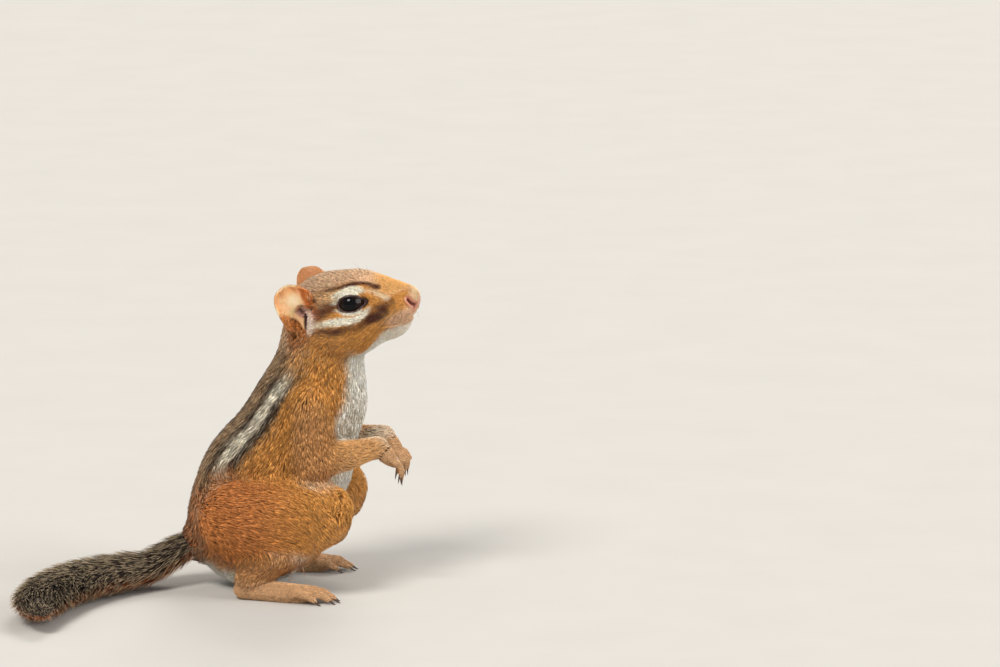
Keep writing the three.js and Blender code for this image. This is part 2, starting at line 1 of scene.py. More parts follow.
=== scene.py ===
# %% [markdown]
# # A sitting chipmunk, life size
#
# This lesson dresses the plain solids of a chipmunk as the living animal: one skin, a short
# striped coat that lies along the body, wet eyes, thin ears, whiskers and claws.
# The solids give every size and place. Nothing here moves them.

import math
from collections import namedtuple

import bpy
import numpy as np
from mathutils import Matrix, Vector
from mathutils.bvhtree import BVHTree


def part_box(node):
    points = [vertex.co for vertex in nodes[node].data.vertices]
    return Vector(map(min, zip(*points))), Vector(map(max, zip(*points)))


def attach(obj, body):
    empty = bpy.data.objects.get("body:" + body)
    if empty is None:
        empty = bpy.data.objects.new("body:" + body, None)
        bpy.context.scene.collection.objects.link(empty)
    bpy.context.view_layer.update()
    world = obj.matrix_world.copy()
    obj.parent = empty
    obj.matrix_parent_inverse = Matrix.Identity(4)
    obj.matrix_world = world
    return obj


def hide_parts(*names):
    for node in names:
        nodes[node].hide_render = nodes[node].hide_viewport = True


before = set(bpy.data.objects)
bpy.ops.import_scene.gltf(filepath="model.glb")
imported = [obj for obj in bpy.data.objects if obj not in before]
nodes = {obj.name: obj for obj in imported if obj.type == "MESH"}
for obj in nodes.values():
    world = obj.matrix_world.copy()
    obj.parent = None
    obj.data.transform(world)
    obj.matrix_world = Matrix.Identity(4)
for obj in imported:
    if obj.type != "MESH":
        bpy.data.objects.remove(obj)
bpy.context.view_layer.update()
print(len(nodes), "solids loaded")

# %% [markdown]
# ## Where the animal is
#
# The head is turned and raised, so its markings are easiest to state in a level frame of its own.
# The middle of the two eyes and the two turns of the head give that frame. Sizes are in
# millimetres and become metres at the very end.

# %% Frames of the head and of the body
MM = 0.001
HEAD_PITCH = 17  # degrees, nose up
HEAD_YAW = -8  # degrees, towards the camera
EYE_FROM_HEAD_ORIGIN = Vector((0.3, 0, -0.1))
HEAD_ORIGIN_IN_BODY = Vector((0, -1.9, 88))
SIDES = {"left": 1, "right": -1}


def turned(degrees, axis):
    return Matrix.Rotation(math.radians(degrees), 3, axis)


def middle(node):
    low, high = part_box(node)
    return (low + high) / 2


head_turn = turned(HEAD_YAW, "Z") @ turned(-HEAD_PITCH, "Y")
between_eyes = (middle("eye_left") + middle("eye_right")) / 2 / MM
head_origin = between_eyes - head_turn @ EYE_FROM_HEAD_ORIGIN
TURN = np.array(head_turn)
HEAD_AT = np.array(head_origin)
BODY_AT = np.array(head_origin - HEAD_ORIGIN_IN_BODY)
print("head origin at", [round(v, 2) for v in head_origin])


def to_head(points):
    """Points in millimetres in the level frame of the head."""
    return (points - HEAD_AT) @ TURN


def from_head(points):
    return np.asarray(points, float) @ TURN.T + HEAD_AT


def to_body(points):
    return points - BODY_AT


def on_left(level_points):
    """Points in the head's frame, those of the right side mirrored to the left."""
    return np.abs(level_points * [0, 1, 0]) + level_points * [1, 0, 1]


def mirror_of(level_points):
    """1, 1, 1 for a point of the left side and 1, -1, 1 for one of the right side."""
    return np.where(level_points[:, 1:2] > 0, 1.0, -1.0) * [[0, 1, 0]] + [[1, 0, 1]]


# %% [markdown]
# ## The camera
#
# A long lens far away keeps the profile true, as in wildlife pictures. The right eye is the
# anchor of the framing: it lies left of the middle and a little above it.

# %% Camera at the photograph's angle
CAMERA_AZIMUTH = 5
CAMERA_ELEVATION = 10
CAMERA_DISTANCE = 1800
VIEW_WIDTH = 298.5  # millimetres seen across at the animal
EYE_LEFT_OF_MIDDLE = 44.5
EYE_ABOVE_MIDDLE = 8.8
SENSOR = 36


def towards(azimuth_degrees, elevation_degrees):
    """Direction from the animal to something that stands at these angles. 0 is its right side."""
    azimuth, elevation = math.radians(azimuth_degrees), math.radians(elevation_degrees)
    level_part = math.cos(elevation)
    return Vector((math.sin(azimuth) * level_part, -math.cos(azimuth) * level_part, math.sin(elevation)))


backward = towards(CAMERA_AZIMUTH, CAMERA_ELEVATION)
rightward = Vector((math.cos(math.radians(CAMERA_AZIMUTH)), math.sin(math.radians(CAMERA_AZIMUTH)), 0))
upward = backward.cross(rightward)
aim = middle("eye_right") + (rightward * EYE_LEFT_OF_MIDDLE - upward * EYE_ABOVE_MIDDLE) * MM
bpy.ops.object.select_all(action="DESELECT")
bpy.ops.object.camera_add()
camera = bpy.context.object
camera.name = "camera"
camera_turn = Matrix((rightward, upward, backward)).transposed().to_4x4()
camera.matrix_world = Matrix.Translation(aim + backward * CAMERA_DISTANCE * MM) @ camera_turn
camera.data.sensor_width = SENSOR
camera.data.lens = SENSOR * CAMERA_DISTANCE / VIEW_WIDTH
camera.data.clip_end = 20
bpy.context.scene.camera = camera
print("lens", round(camera.data.lens), "mm")

# %% [markdown]
# ## Helpers for meshes
#
# The same few steps come back for each piece: select it alone, run an operator on all of it in
# edit mode, read or write all its points at once, apply a modifier. They are kept as small helpers.


# %% Select, edit and read a mesh
def select_only(piece):
    bpy.ops.object.select_all(action="DESELECT")
    piece.select_set(True)
    bpy.context.view_layer.objects.active = piece


def in_edit_mode(piece, *steps):
    """Runs each step on the whole of a piece."""
    select_only(piece)
    bpy.ops.object.mode_set(mode="EDIT")
    bpy.ops.mesh.select_all(action="SELECT")
    for step in steps:
        step()
    bpy.ops.object.mode_set(mode="OBJECT")


def merge_corners():
    bpy.ops.mesh.remove_doubles(threshold=0.001 * MM)


def face_outwards():
    bpy.ops.mesh.normals_make_consistent(inside=False)


def read_all(items, field, width=1, kind=np.float32):
    """One value from each item of a mesh, or a row of width values."""
    values = np.empty(len(items) * width, kind)
    items.foreach_get(field, values)
    return values.reshape(-1, width) if width > 1 else values


def points_of(mesh):
    return read_all(mesh.vertices, "co", 3).astype(float)


def normals_of(mesh):
    return read_all(mesh.vertex_normals, "vector", 3).astype(float)


def set_points(mesh, points):
    mesh.vertices.foreach_set("co", np.asarray(points, np.float32).ravel())
    mesh.update()


def apply_modifier(piece, kind, **settings):
    select_only(piece)
    modifier = piece.modifiers.new(kind.lower(), kind)
    for name, value in settings.items():
        setattr(modifier, name, value)
    bpy.ops.object.modifier_apply(modifier=modifier.name)


def link(piece):
    bpy.context.scene.collection.objects.link(piece)
    return piece


# %% Helpers for numbers
def smoothstep(low, high, value):
    """0 at low, 1 at high, with a soft start and end."""
    t = np.clip((value - low) / (high - low), 0, 1)
    return t * t * (3 - 2 * t)


def ridge(distance, width):
    """1 on a line, and almost 0 at twice its width."""
    return np.exp(-((distance / width) ** 2))


def unit(vectors):
    return vectors / np.maximum(np.linalg.norm(vectors, axis=-1, keepdims=True), 1e-9)


# %% [markdown]
# ## The flesh
#
# The solids of trunk, head and legs are parted by thin joint lines, which a living animal doesn't
# have. Sculpting over them would do, but not twice the same. Swelling each solid by the width of a
# joint line and remeshing them together closes the lines in one go, and a few rounds of smoothing
# take the facets away. The paws are done apart with smaller cells, so that the toes stay apart.

# %% Trunk, head and legs as one closed surface
JOINT_LINE = 0.3
BODY_CELL, BODY_ROUNDS = 0.7, 5
PAW_CELL, PAW_ROUNDS = 0.4, 2


def both(*names):
    return [f"{name}_{side}" for name in names for side in SIDES]


FLESH_NODES = ["torso", "neck", "head", "nose", *both("eye", "thigh", "shin", "upperarm", "forearm")]
PAW_NODES = both("hindfoot", "forepaw")


def merged_copy(name, node_names):
    """One new object that holds copies of the solids' meshes, with their loose corners merged."""
    copies = [link(bpy.data.objects.new(node + "_copy", nodes[node].data.copy())) for node in node_names]
    bpy.ops.object.select_all(action="DESELECT")
    for copy in copies:
        copy.select_set(True)
    bpy.context.view_layer.objects.active = copies[0]
    bpy.ops.object.join()
    piece = bpy.context.view_layer.objects.active
    piece.name = name
    piece.data.materials.clear()
    in_edit_mode(piece, merge_corners)
    return piece


def one_surface(name, node_names, cell, rounds):
    piece = merged_copy(name, node_names)
    apply_modifier(piece, "DISPLACE", strength=JOINT_LINE * MM, mid_level=0)
    apply_modifier(piece, "REMESH", mode="VOXEL", voxel_size=cell * MM)
    apply_modifier(piece, "SMOOTH", factor=0.5, iterations=rounds)
    apply_modifier(piece, "DISPLACE", strength=-JOINT_LINE * MM, mid_level=0)
    print(name, len(piece.data.polygons), "faces")
    return piece


flesh = one_surface("flesh", FLESH_NODES, BODY_CELL, BODY_ROUNDS)

# %% Let trunk and haunches flow into one another
SOFT_FROM, SOFT_TO = (12, 22), (68, 56)  # heights where the softening sets in and ends
SOFT_BEHIND = (-2, -7)
SOFT_ROUNDS = 22
SOFT_LEVELS = 10

ahead, _, height = to_body(points_of(flesh.data) / MM).T
softness = smoothstep(*SOFT_TO, height) * smoothstep(*SOFT_FROM, height) * smoothstep(*SOFT_BEHIND, ahead)
soft_part = flesh.vertex_groups.new(name="soft_part")
for k in range(1, SOFT_LEVELS + 1):
    chosen = np.flatnonzero(np.round(softness * SOFT_LEVELS) == k)
    soft_part.add([int(index) for index in chosen], k / SOFT_LEVELS, "REPLACE")
apply_modifier(flesh, "SMOOTH", factor=0.5, iterations=SOFT_ROUNDS, vertex_group="soft_part")
flesh.vertex_groups.clear()
print("softened", int((softness > 0.5).sum()), "points of the trunk")
paws = one_surface("paws", PAW_NODES, PAW_CELL, PAW_ROUNDS)

# %% [markdown]
# ## Toes and fingers
#
# A hind foot has five toes and a forepaw four fingers. Each foot has a frame of its own: the heel
# or wrist at its origin, the toes ahead. A toe is known by its knuckle and its tip, and the claw
# goes on from there in the same direction.

# %% Toes and fingers in the body's frame
HEEL = (-34.5, 19.5, 0)
FOOT_TURN_OUT = 8
WRIST = (7.5, 9, 45)
PAW_DROOP = 48
PAW_TURN_IN = 14
TOES, TOE_RADIUS, TOE_CLAW = 5, 1.3, 2.8
TOE_ROOT, TOE_REACH, TOE_SPREAD = 19.8, 30.6, 5.15
FINGERS, FINGER_RADIUS, FINGER_CLAW = 4, 1.05, 2.1
FINGER_KNUCKLE, FINGER_REACH, FINGER_SPREAD = 9.2, 12.2, 3.17


def toe_line(spread):
    """Knuckle and tip of a toe. spread runs from -1 to 1 across the foot."""
    reach = TOE_REACH - 3.4 * spread**4 - 1.2 * abs(spread)
    start = TOE_ROOT - 2.2 * spread**4
    return ((start + reach) / 2, 4.6 * spread, 3.3), (reach, TOE_SPREAD * spread, 1.15)


def finger_line(spread):
    reach = FINGER_REACH - 1.6 * spread**2
    return (FINGER_KNUCKLE, 3.06 * spread, 0.9), (reach, FINGER_SPREAD * spread, -1.4)


def digits_of(count, line, turn, place, side):
    """Tip and direction of each digit of one paw, in the body's frame."""
    mirror = np.array([1, side, 1])
    half = (count - 1) / 2
    for k in range(count):
        knuckle, tip = (np.array(point) * mirror for point in line((k - half) / half))
        yield turn @ tip + np.array(place) * mirror, turn @ unit(tip - knuckle)


DIGITS = []  # tip, direction, radius and claw length of every toe and finger
for side in SIDES.values():
    foot_turn = np.array(turned(FOOT_TURN_OUT * side, "Z"))
    paw_turn = np.array(turned(-PAW_TURN_IN * side, "Z") @ turned(PAW_DROOP, "Y"))
    for tip, ahead in digits_of(TOES, toe_line, foot_turn, HEEL, side):
        DIGITS.append((tip, ahead, TOE_RADIUS, TOE_CLAW))
    for tip, ahead in digits_of(FINGERS, finger_line, paw_turn, WRIST, side):
        DIGITS.append((tip, ahead, FINGER_RADIUS, FINGER_CLAW))
print(len(DIGITS), "toes and fingers")

# %% [markdown]
# ## Ears
#
# An ear is a thin sheet that is bent to a cup. Carving one out of a block would leave it thick, so
# a flat grid is the natural start: one way runs from root to tip, the other from the front rim to
# the back rim. Each grid point is put where the cup has it, the front rim is raised to a soft
# fold, and a Solidify modifier gives the sheet its thickness.


# %% A grid that is bent to a shape
def shaped_grid(name, columns, rows, place, around=False):
    """A grid primitive whose points go where place(u, v) says, with u and v from 0 to 1.
    With around the first and last column meet, and the end rows close to a point."""
    bpy.ops.mesh.primitive_grid_add(x_subdivisions=columns, y_subdivisions=rows, size=1)
    piece = bpy.context.object
    piece.name = name
    flat = points_of(piece.data) + 0.5
    set_points(piece.data, place(flat[:, 0], flat[:, 1]) * MM)
    if around:
        in_edit_mode(piece, merge_corners, face_outwards)
    return piece


# %% The frame of an ear
EAR_LENGTH = 16
EAR_WIDTH = 10
EAR_ROOT = (-15, 10.3, -5.5)  # left ear, in the head's frame
EAR_LIFT = (-0.02, 0.26, 0.96)
EAR_OPENS_TO = (0.24, 0.96, -0.12)
LEFT_EAR_RAISE = (-0.4, 0, 1.8)  # the left ear stands higher than the right one
LEFT_EAR_TURN = 3  # degrees, its tip ahead


def ear_axes(side):
    """Root, way to the tip, way that the cup opens and way from front to back rim."""
    mirror = np.array([1, side, 1])
    raised, degrees = (LEFT_EAR_RAISE, LEFT_EAR_TURN) if side > 0 else ((0, 0, 0), 0)
    turn = np.array(turned(degrees, "Y"))
    lift = turn @ unit(np.array(EAR_LIFT) * mirror)
    opens = turn @ (np.array(EAR_OPENS_TO) * mirror)
    opens = unit(opens - lift * (opens @ lift))
    return np.array(EAR_ROOT) * mirror + raised, lift, opens, np.cross(lift, opens) * side


def ear_coordinates(level_points):
    """Share of the ear's length, share across from front to back and height over its cup."""
    found = []
    for side in SIDES.values():
        root, lift, opens, across = ear_axes(side)
        offset = level_points - root
        up_by, across_by = offset @ lift / EAR_LENGTH, offset @ across / (EAR_WIDTH / 2)
        found.append(np.stack([up_by, across_by, offset @ opens]))
    return np.where(level_points[:, 1] > 0, *found)


# %% The two ear cups
EAR_ROOT_WIDTH = 6.4
EAR_WIDEST = 0.6  # share of its length
EAR_ROUNDNESS = 2.7  # 2 would make the tip an ellipse, more makes it blunter
EAR_CUP, EAR_CUP_LESS = 3.4, 1.4  # depth at the root, and how much less at the tip
EAR_LEAN, EAR_ROOT_LEAN = 1.4, 3.4
EAR_SHEET = 0.5
EAR_FOLD = 1.0  # height of the soft fold along the front rim
EAR_FOLD_FROM, EAR_FOLD_SPAN = 0.55, 0.45
EAR_FOLD_WIDTH = 1.3
EAR_FRONT_TUCK = 1.2  # how far the low end of the front rim turns into the head


def ear_half_width(t):
    over = np.clip((t - EAR_WIDEST) / (1 - EAR_WIDEST), 0, 1)
    opening = np.sin(np.clip(t / EAR_WIDEST, 0, 1) * math.pi / 2)
    width = EAR_ROOT_WIDTH + (EAR_WIDTH - EAR_ROOT_WIDTH) * opening
    return 0.5 * width * (1 - over**EAR_ROUNDNESS) ** (1 / EAR_ROUNDNESS)


def ear_point(side):
    root, lift, opens, across = ear_axes(side)

    def place(u, v):
        s = np.sin((2 * u - 1) * math.pi / 2)
        t = 0.99 * np.sin(v * math.pi / 2)
        half = ear_half_width(t)
        cup = (EAR_CUP - EAR_CUP_LESS * t) * np.minimum(1, half / 2)
        lean = EAR_LEAN * t**2 + EAR_ROOT_LEAN * np.clip(1 - t / 0.3, 0, 1) ** 2
        folded = np.clip((-EAR_FOLD_FROM - s) / EAR_FOLD_SPAN, 0, 1)
        fold_here = smoothstep(0.98, 0.7, t) * smoothstep(0.2, 0.5, t)
        out = cup * (np.abs(s) ** 2.2 - 1) - lean
        out = out - EAR_FRONT_TUCK * smoothstep(0.55, 0.25, t) * smoothstep(-0.5, -1, s)
        out = out + EAR_FOLD * np.sin(folded * math.pi) * fold_here
        along = s * half - EAR_FOLD_WIDTH * folded * fold_here
        level = root + np.outer(EAR_LENGTH * t, lift) + np.outer(along, across) + np.outer(out, opens)
        return from_head(level)

    return place


ears = []
for side_name, side in SIDES.items():
    ear = shaped_grid("ear_" + side_name + "_skin", 36, 44, ear_point(side))
    apply_modifier(ear, "SOLIDIFY", thickness=EAR_SHEET * MM, offset=0)
    in_edit_mode(ear, face_outwards)
    ears.append(ear)
print("ear", len(ears[0].data.polygons), "faces")

# %% [markdown]
# ## The core of the tail
#
# Under its brush the tail is a slim rod of flesh. Its middle line leaves the rump, drops to the
# floor and curves to the animal's right. A curve with a bevel could make the rod as well, but a
# line in numbers can carry the long hair later, so a grid is wrapped round it.

# %% The tail's middle line
TAIL_LENGTH = 92
TAIL_ROOT = (-47, 0, 13)
TAIL_HEADINGS = (198, 288)  # degrees seen from above, at the root and at the tip
TAIL_LIE = 6.2
TAIL_DROP = 20
TAIL_STEPS = 92


def tail_middle_line():
    stride = TAIL_LENGTH / TAIL_STEPS
    share = (np.arange(TAIL_STEPS) + 0.5) / TAIL_STEPS
    heading = np.radians(TAIL_HEADINGS[0] + (TAIL_HEADINGS[1] - TAIL_HEADINGS[0]) * share)
    flat = np.cumsum(np.stack([np.cos(heading), np.sin(heading)], 1) * stride, 0)
    flat = np.vstack([[0, 0], flat]) + TAIL_ROOT[:2]
    dropped = smoothstep(0, TAIL_DROP, np.arange(TAIL_STEPS + 1) * stride)
    height = TAIL_ROOT[2] + (TAIL_LIE - TAIL_ROOT[2]) * dropped
    return np.column_stack([flat, height]) + BODY_AT


tail_line = tail_middle_line()


def tail_frame(share):
    """Place, direction, right hand side and upper side of the tail at shares of its length."""
    at = np.clip(share, 0, 1) * TAIL_STEPS
    low = np.minimum(at.astype(int), TAIL_STEPS - 1)
    rest = (at - low)[:, None]
    place = tail_line[low] * (1 - rest) + tail_line[low + 1] * rest
    ahead = unit(tail_line[low + 1] - tail_line[low])
    across = unit(np.cross(ahead, [0, 0, 1.0]))
    return place, ahead, across, np.cross(across, ahead)


print("tail ends at", tail_line[-1].round(1))

# %% The tail's core
TAIL_HALF_WIDTH = 10.5
TAIL_HALF_HEIGHT = 6.6
TAIL_CLOSES_FROM = 0.74
TAIL_CORE = 0.3  # its size as a share of the brush
TAIL_CORE_ENDS = 0.9
TAIL_IN_RUMP = 0.04  # share of the tail's length that lies hidden in the rump


def brush(share):
    """How full the tail is, 1 at its widest and almost 0 at its tip."""
    fullness = np.sin(math.pi * np.minimum(1, 0.2 + 0.62 * share)) ** 0.7
    closing = np.clip((share - TAIL_CLOSES_FROM) / (1 - TAIL_CLOSES_FROM), 0, 1)
    return fullness * np.sqrt(np.maximum(0.01, 1 - closing**2))


def core_point(u, v):
    share = v * TAIL_CORE_ENDS - TAIL_IN_RUMP
    place, ahead, across, above = tail_frame(np.maximum(share, 0))
    place = place + ahead * np.minimum(share, 0)[:, None] * TAIL_LENGTH
    size = TAIL_CORE * brush(np.maximum(share, 0)) * (1 - 0.35 * share**3)
    size = size * np.sqrt(np.clip(np.minimum(v, 1 - v) / 0.03, 0, 1))
    sideways = np.cos(2 * math.pi * u) * size * TAIL_HALF_WIDTH
    upwards = np.sin(2 * math.pi * u) * size * TAIL_HALF_HEIGHT
    return place + across * sideways[:, None] + above * upwards[:, None]


tail_core = shaped_grid("tail_core", 20, 80, core_point, around=True)
print("core", len(tail_core.data.polygons), "faces")

# %% [markdown]
# ## One skin
#
# A Boolean union makes one closed skin of the parts, so that no seam shows. The face then gets
# smaller faces than the rest, because the mouth, the nostrils and the lids need them.

# %% Join the parts to one skin
skin = flesh
for part in (paws, tail_core, *ears):
    apply_modifier(skin, "BOOLEAN", operation="UNION", solver="MANIFOLD", object=part)
    bpy.data.objects.remove(part)
skin.name = "skin"
print("skin", len(skin.data.vertices), "points after the union")

# %% Give the face, the eyes, the nose and the ears smaller faces
FACE_FROM = -9  # everything ahead of this, in the head's frame, is face
FACE_HALF_WIDTH = 15
FACE_LOWEST = -16.5
FINE_AT_EYE = ((0.3, 9.6, 0.1), 5.4)  # smaller still: the middle and radius of a ball
FINE_AT_NOSE = ((18.6, 2.0, -5.4), 3.4)


def divide(piece, chosen):
    """Splits the chosen faces of a piece in four."""
    select_only(piece)
    bpy.ops.object.mode_set(mode="EDIT")
    bpy.ops.mesh.select_all(action="DESELECT")
    bpy.ops.object.mode_set(mode="OBJECT")
    piece.data.polygons.foreach_set("select", chosen)
    bpy.ops.object.mode_set(mode="EDIT")
    bpy.ops.mesh.subdivide(number_cuts=1, smoothness=0.6)
    bpy.ops.object.mode_set(mode="OBJECT")


def face_middles(piece):
    """Middles of a piece's faces in the head's frame."""
    return to_head(read_all(piece.data.polygons, "center", 3).astype(float) / MM)


def in_ear(level_points, lowest, highest, front, back):
    up_by, across_by, out_by = ear_coordinates(level_points)
    near = (up_by > lowest) & (up_by < highest) & (out_by > -4) & (out_by < 1.5)
    return near & (across_by > front) & (across_by < back)


level = face_middles(skin)
face = (level[:, 0] > FACE_FROM) & (np.abs(level[:, 1]) < FACE_HALF_WIDTH) & (level[:, 2] > FACE_LOWEST)
divide(skin, face | in_ear(level, -0.05, 0.6, -1.1, 1.1))
level = face_middles(skin)
fine = in_ear(level, -0.02, 0.5, -0.9, 0.3)
for centre, radius in (FINE_AT_EYE, FINE_AT_NOSE):
    fine |= np.linalg.norm(on_left(level) - centre, axis=1) < radius
divide(skin, fine)
print("skin", len(skin.data.vertices), "points with the finer face")

# %% [markdown]
# ## How the hair lies
#
# Hair grows away from the nose, down the neck and back, and along each leg to its toes. Combing
# each guide hair by hand would take days, so a few streams say this: each is a line with a radius.
# A point of the skin takes its direction, its coat and its part of the body from the streams near
# it, so that all of them change smoothly.

# %% Streams along the body
HEAD_STREAM = "head"
HEAD_LINE = (from_head([13, 0, -4]) - BODY_AT, from_head([-13, 0, -1.5]) - BODY_AT)
Stream = namedtuple("Stream", "start end radius depth length width density")  # density: hairs a square mm
STREAMS = {
    HEAD_STREAM: Stream(*HEAD_LINE, 11, 0.8, 2.0, 0.2, 31),
    "neck": Stream((-14, 0, 76), (-14.5, 0, 62), 11, 1.6, 4.2, 0.3, 11),
    "ribs": Stream((-14, 0, 62), (-20, 0, 44), 15, 2.1, 5.2, 0.36, 9.4),
    "belly": Stream((-20, 0, 46), (-28, 0, 30), 18, 2.2, 5.6, 0.38, 8.2),
    "rump": Stream((-28, 0, 30), (-44, 0, 14), 18, 2.2, 5.6, 0.38, 8.2),
    "upperarm": Stream((-13, 11, 57), (-11, 18, 41), 7.2, 1.4, 3.6, 0.3, 11),
    "forearm": Stream((-10, 17.5, 41), (7, 9.3, 45), 4.2, 0.7, 2.4, 0.24, 13),
    "forepaw": Stream((7.5, 9, 45), (16.5, 6.8, 34.5), 3.2, 0.12, 0.8, 0.15, 20),
    "thigh": Stream((-38, 13, 27), (-8, 18.5, 24), 13, 2, 5, 0.36, 9.2),
    "shin": Stream((-8, 19, 21), (-29, 19.5, 8), 5.2, 1.1, 3.2, 0.28, 9.5),
    "hindfoot": Stream((-34, 19.5, 3), (-1.5, 24, 2), 4.2, 0.14, 1.0, 0.17, 16),
}
PAIRED = ("upperarm", "forearm", "forepaw", "thigh", "shin", "hindfoot")
STREAM_SHARPNESS = 6  # how quickly one stream gives way to the next


def segment_nearest(points, start, end):
    start, end = np.asarray(start, float), np.asarray(end, float)
    way = end - start
    share = np.clip((points - start) @ way / (way @ way), 0, 1)
    return start + share[:, None] * way


def line_distance(places, line):
    """Distance from each place to a line of points, in two or three dimensions."""
    best = np.full(len(places), 1e9)
    for start, end in zip(line, line[1:]):
        best = np.minimum(best, np.linalg.norm(places - segment_nearest(places, start, end), axis=1))
    return best


def stream_weights(points):
    """The share of each stream at each point, in the body's frame, and the blended direction."""
    mirrored = points * [1, -1, 1]
    weights, directions = {}, np.zeros_like(points)
    for name, stream in STREAMS.items():
        weight = np.zeros(len(points))
        for copy, flip in ((points, 1), (mirrored, -1))[: 2 if name in PAIRED else 1]:
            distance = np.linalg.norm(copy - segment_nearest(copy, stream.start, stream.end), axis=1)
            near = 1 / ((distance / stream.radius) ** STREAM_SHARPNESS + 0.02)
            weight += near
            along = unit(np.asarray(stream.end, float) - stream.start)
            directions += near[:, None] * along * [1, flip, 1]
        weights[name] = weight
    total = sum(weights.values())
    return {name: weight / total for name, weight in weights.items()}, directions / total[:, None]


points = points_of(skin.data) / MM
normals = normals_of(skin.data)
level, body_points = to_head(points), to_body(points)
parts, lie = stream_weights(body_points)
print("streams", {name: round(float(share.mean()), 3) for name, share in parts.items()})


def blended(what):
    """A value of the streams at each point of the skin."""
    return sum(parts[name] * getattr(stream, what) for name, stream in STREAMS.items())


# %% Which points belong to the paws
PAW_EDGE = (0.9, 0.35)  # how far from the solid paws the skin stops and starts to be paw
BETWEEN_PAWS = 20  # height that parts hind feet and forepaws


def tree_of(*node_names):
    """One search tree of the solids' surfaces."""
    corners, faces = [], []
    for node_name in node_names:
        mesh = nodes[node_name].data
        faces += [[index + len(corners) for index in face.vertices] for face in mesh.polygons]
        corners += [corner.co for corner in mesh.vertices]
    return BVHTree.FromPolygons(corners, faces)


def away_from(tree, places):
    return np.array([tree.find_nearest(Vector(place * MM))[3] for place in places]) / MM


ahead, _, height = body_points.T
near_hindfoot = (height < 9) & (ahead > -37)
near_forepaw = (ahead > 5) & (height > 28) & (height < 52)
near_paws = near_hindfoot | near_forepaw
on_paw = np.zeros(len(points))
on_paw[near_paws] = smoothstep(*PAW_EDGE, away_from(tree_of(*PAW_NODES), points[near_paws]))
for name in parts:
    parts[name] = parts[name] * (1 - on_paw)
parts["hindfoot"] += on_paw * (height < BETWEEN_PAWS)
parts["forepaw"] += on_paw * (height >= BETWEEN_PAWS)
print("points of the paws", int(on_paw.sum()))

# %% Which points belong to the ears and the tail
EAR_EDGE_AWAY = (0.4, 1.2)  # how far from the head the ear begins
TAIL_EDGE_AWAY = (7.5, 5.5)  # how near to the middle line the tail begins

ear_up, ear_across, ear_out = ear_coordinates(level)
near_ear = (np.abs(ear_across) < 1.25) & (ear_up > 0.08) & (ear_up < 1.1) & (ear_out < 3) & (ear_out > -7)
away = np.zeros(len(points))
away[near_ear] = away_from(tree_of("head"), points[near_ear])
on_ear = smoothstep(*EAR_EDGE_AWAY, away) * near_ear
tail_near = np.full(len(points), 1e9)
for place in tail_line[6::4]:
    tail_near = np.minimum(tail_near, np.linalg.norm(points - place, axis=1))
on_tail = smoothstep(*TAIL_EDGE_AWAY, tail_near)
print("ear", int(on_ear.sum()), "tail", int(on_tail.sum()), "points")

# %% [markdown]
# ## Nose, mouth and folds of the ear
#
# A chipmunk's nostril is a comma that opens to the side, its lips part in a thin line, and the
# cup of the ear runs down into a hollow with a slit before it. All of them are drawn as lines.
# The distance of each skin point to a line then says how deep to press and what to paint there.

# %% Lines of nose and mouth
NOSE_PAD = (20.6, 0, -6.0)
NOSE_PAD_SIZE = (2.6, 2.3, 2.3)
NOSE_TIP = (19.6, 0, -4.8)
NOSTRIL_LINE = ((17.9, 2.7, -6.5), (18.4, 2.5, -5.8), (17.7, 3.6, -5.1), (17.4, 4.0, -4.3), (17.1, 4.1, -3.5))
NOSE_GROOVE = ((21.4, 0, -5.0), (21.2, 0, -6.4), (19.0, 0, -8.3))
MOUTH_LINE = ((19.0, -8.3), (15.5, -9.3), (12.0, -9.9), (8.2, -9.4))

mirrored_level = on_left(level)
nostril = line_distance(mirrored_level, NOSTRIL_LINE)
groove = line_distance(mirrored_level, NOSE_GROOVE)
mouth = line_distance(level[:, [0, 2]], MOUTH_LINE)
bare_nose = smoothstep(1.12, 0.85, np.linalg.norm((level - NOSE_PAD) / NOSE_PAD_SIZE, axis=1))
bare_nose = np.maximum(bare_nose, smoothstep(1.5, 0.9, nostril))
nose_tip = smoothstep(5.6, 3.8, np.linalg.norm(level - np.array(NOSE_TIP), axis=1))
print("bare nose", int(bare_nose.sum()), "points")

# %% Lines of the ear, across and up the cup
EAR_SLIT = ((-2.3, 5.8), (-1.7, 4.2), (-1.0, 2.7), (-0.5, 1.7))
EAR_TRAGUS = ((-3.5, 6.4), (-3.4, 4.3), (-2.3, 2.2), (-1.0, 0.7))
EAR_HOLLOW = ((-1.6, 7.0), 1.9)  # middle and radius
EAR_COLUMN = ((1.0, 5.8), (0.2, 2.8))
LOBE_EDGE = ((-3.5, -0.6, -0.1, 0.35, 1.6, 3.1, 5), (0.3, 0.8, 1.5, 3.9, 5.4, 7.3, 8.5))  # fur below this

ear_flat = np.column_stack([ear_across * EAR_WIDTH / 2, ear_up * EAR_LENGTH])
outside_mouth = 9 * ~((ear_out > -4) & (ear_out < 1.6) & (ear_up < 0.62) & (ear_up > -0.08))
slit = line_distance(ear_flat, EAR_SLIT) + outside_mouth
tragus = line_distance(ear_flat, EAR_TRAGUS) + outside_mouth
column = line_distance(ear_flat, EAR_COLUMN) + outside_mouth
hollow = np.linalg.norm(ear_flat - EAR_HOLLOW[0], axis=1) / EAR_HOLLOW[1] + outside_mouth
lobe_fur = smoothstep(0.5, -0.3, ear_flat[:, 1] - np.interp(ear_flat[:, 0], *LOBE_EDGE))
ear_mouth = np.maximum(smoothstep(1.3, 1.0, hollow), smoothstep(1.3, 0.8, np.minimum(slit, column - 0.4)))
ear_mouth = ear_mouth * (1 - lobe_fur)
bare_ear = on_ear * (1 - lobe_fur)
print("mouth of the ears", int(ear_mouth.sum()), "points")

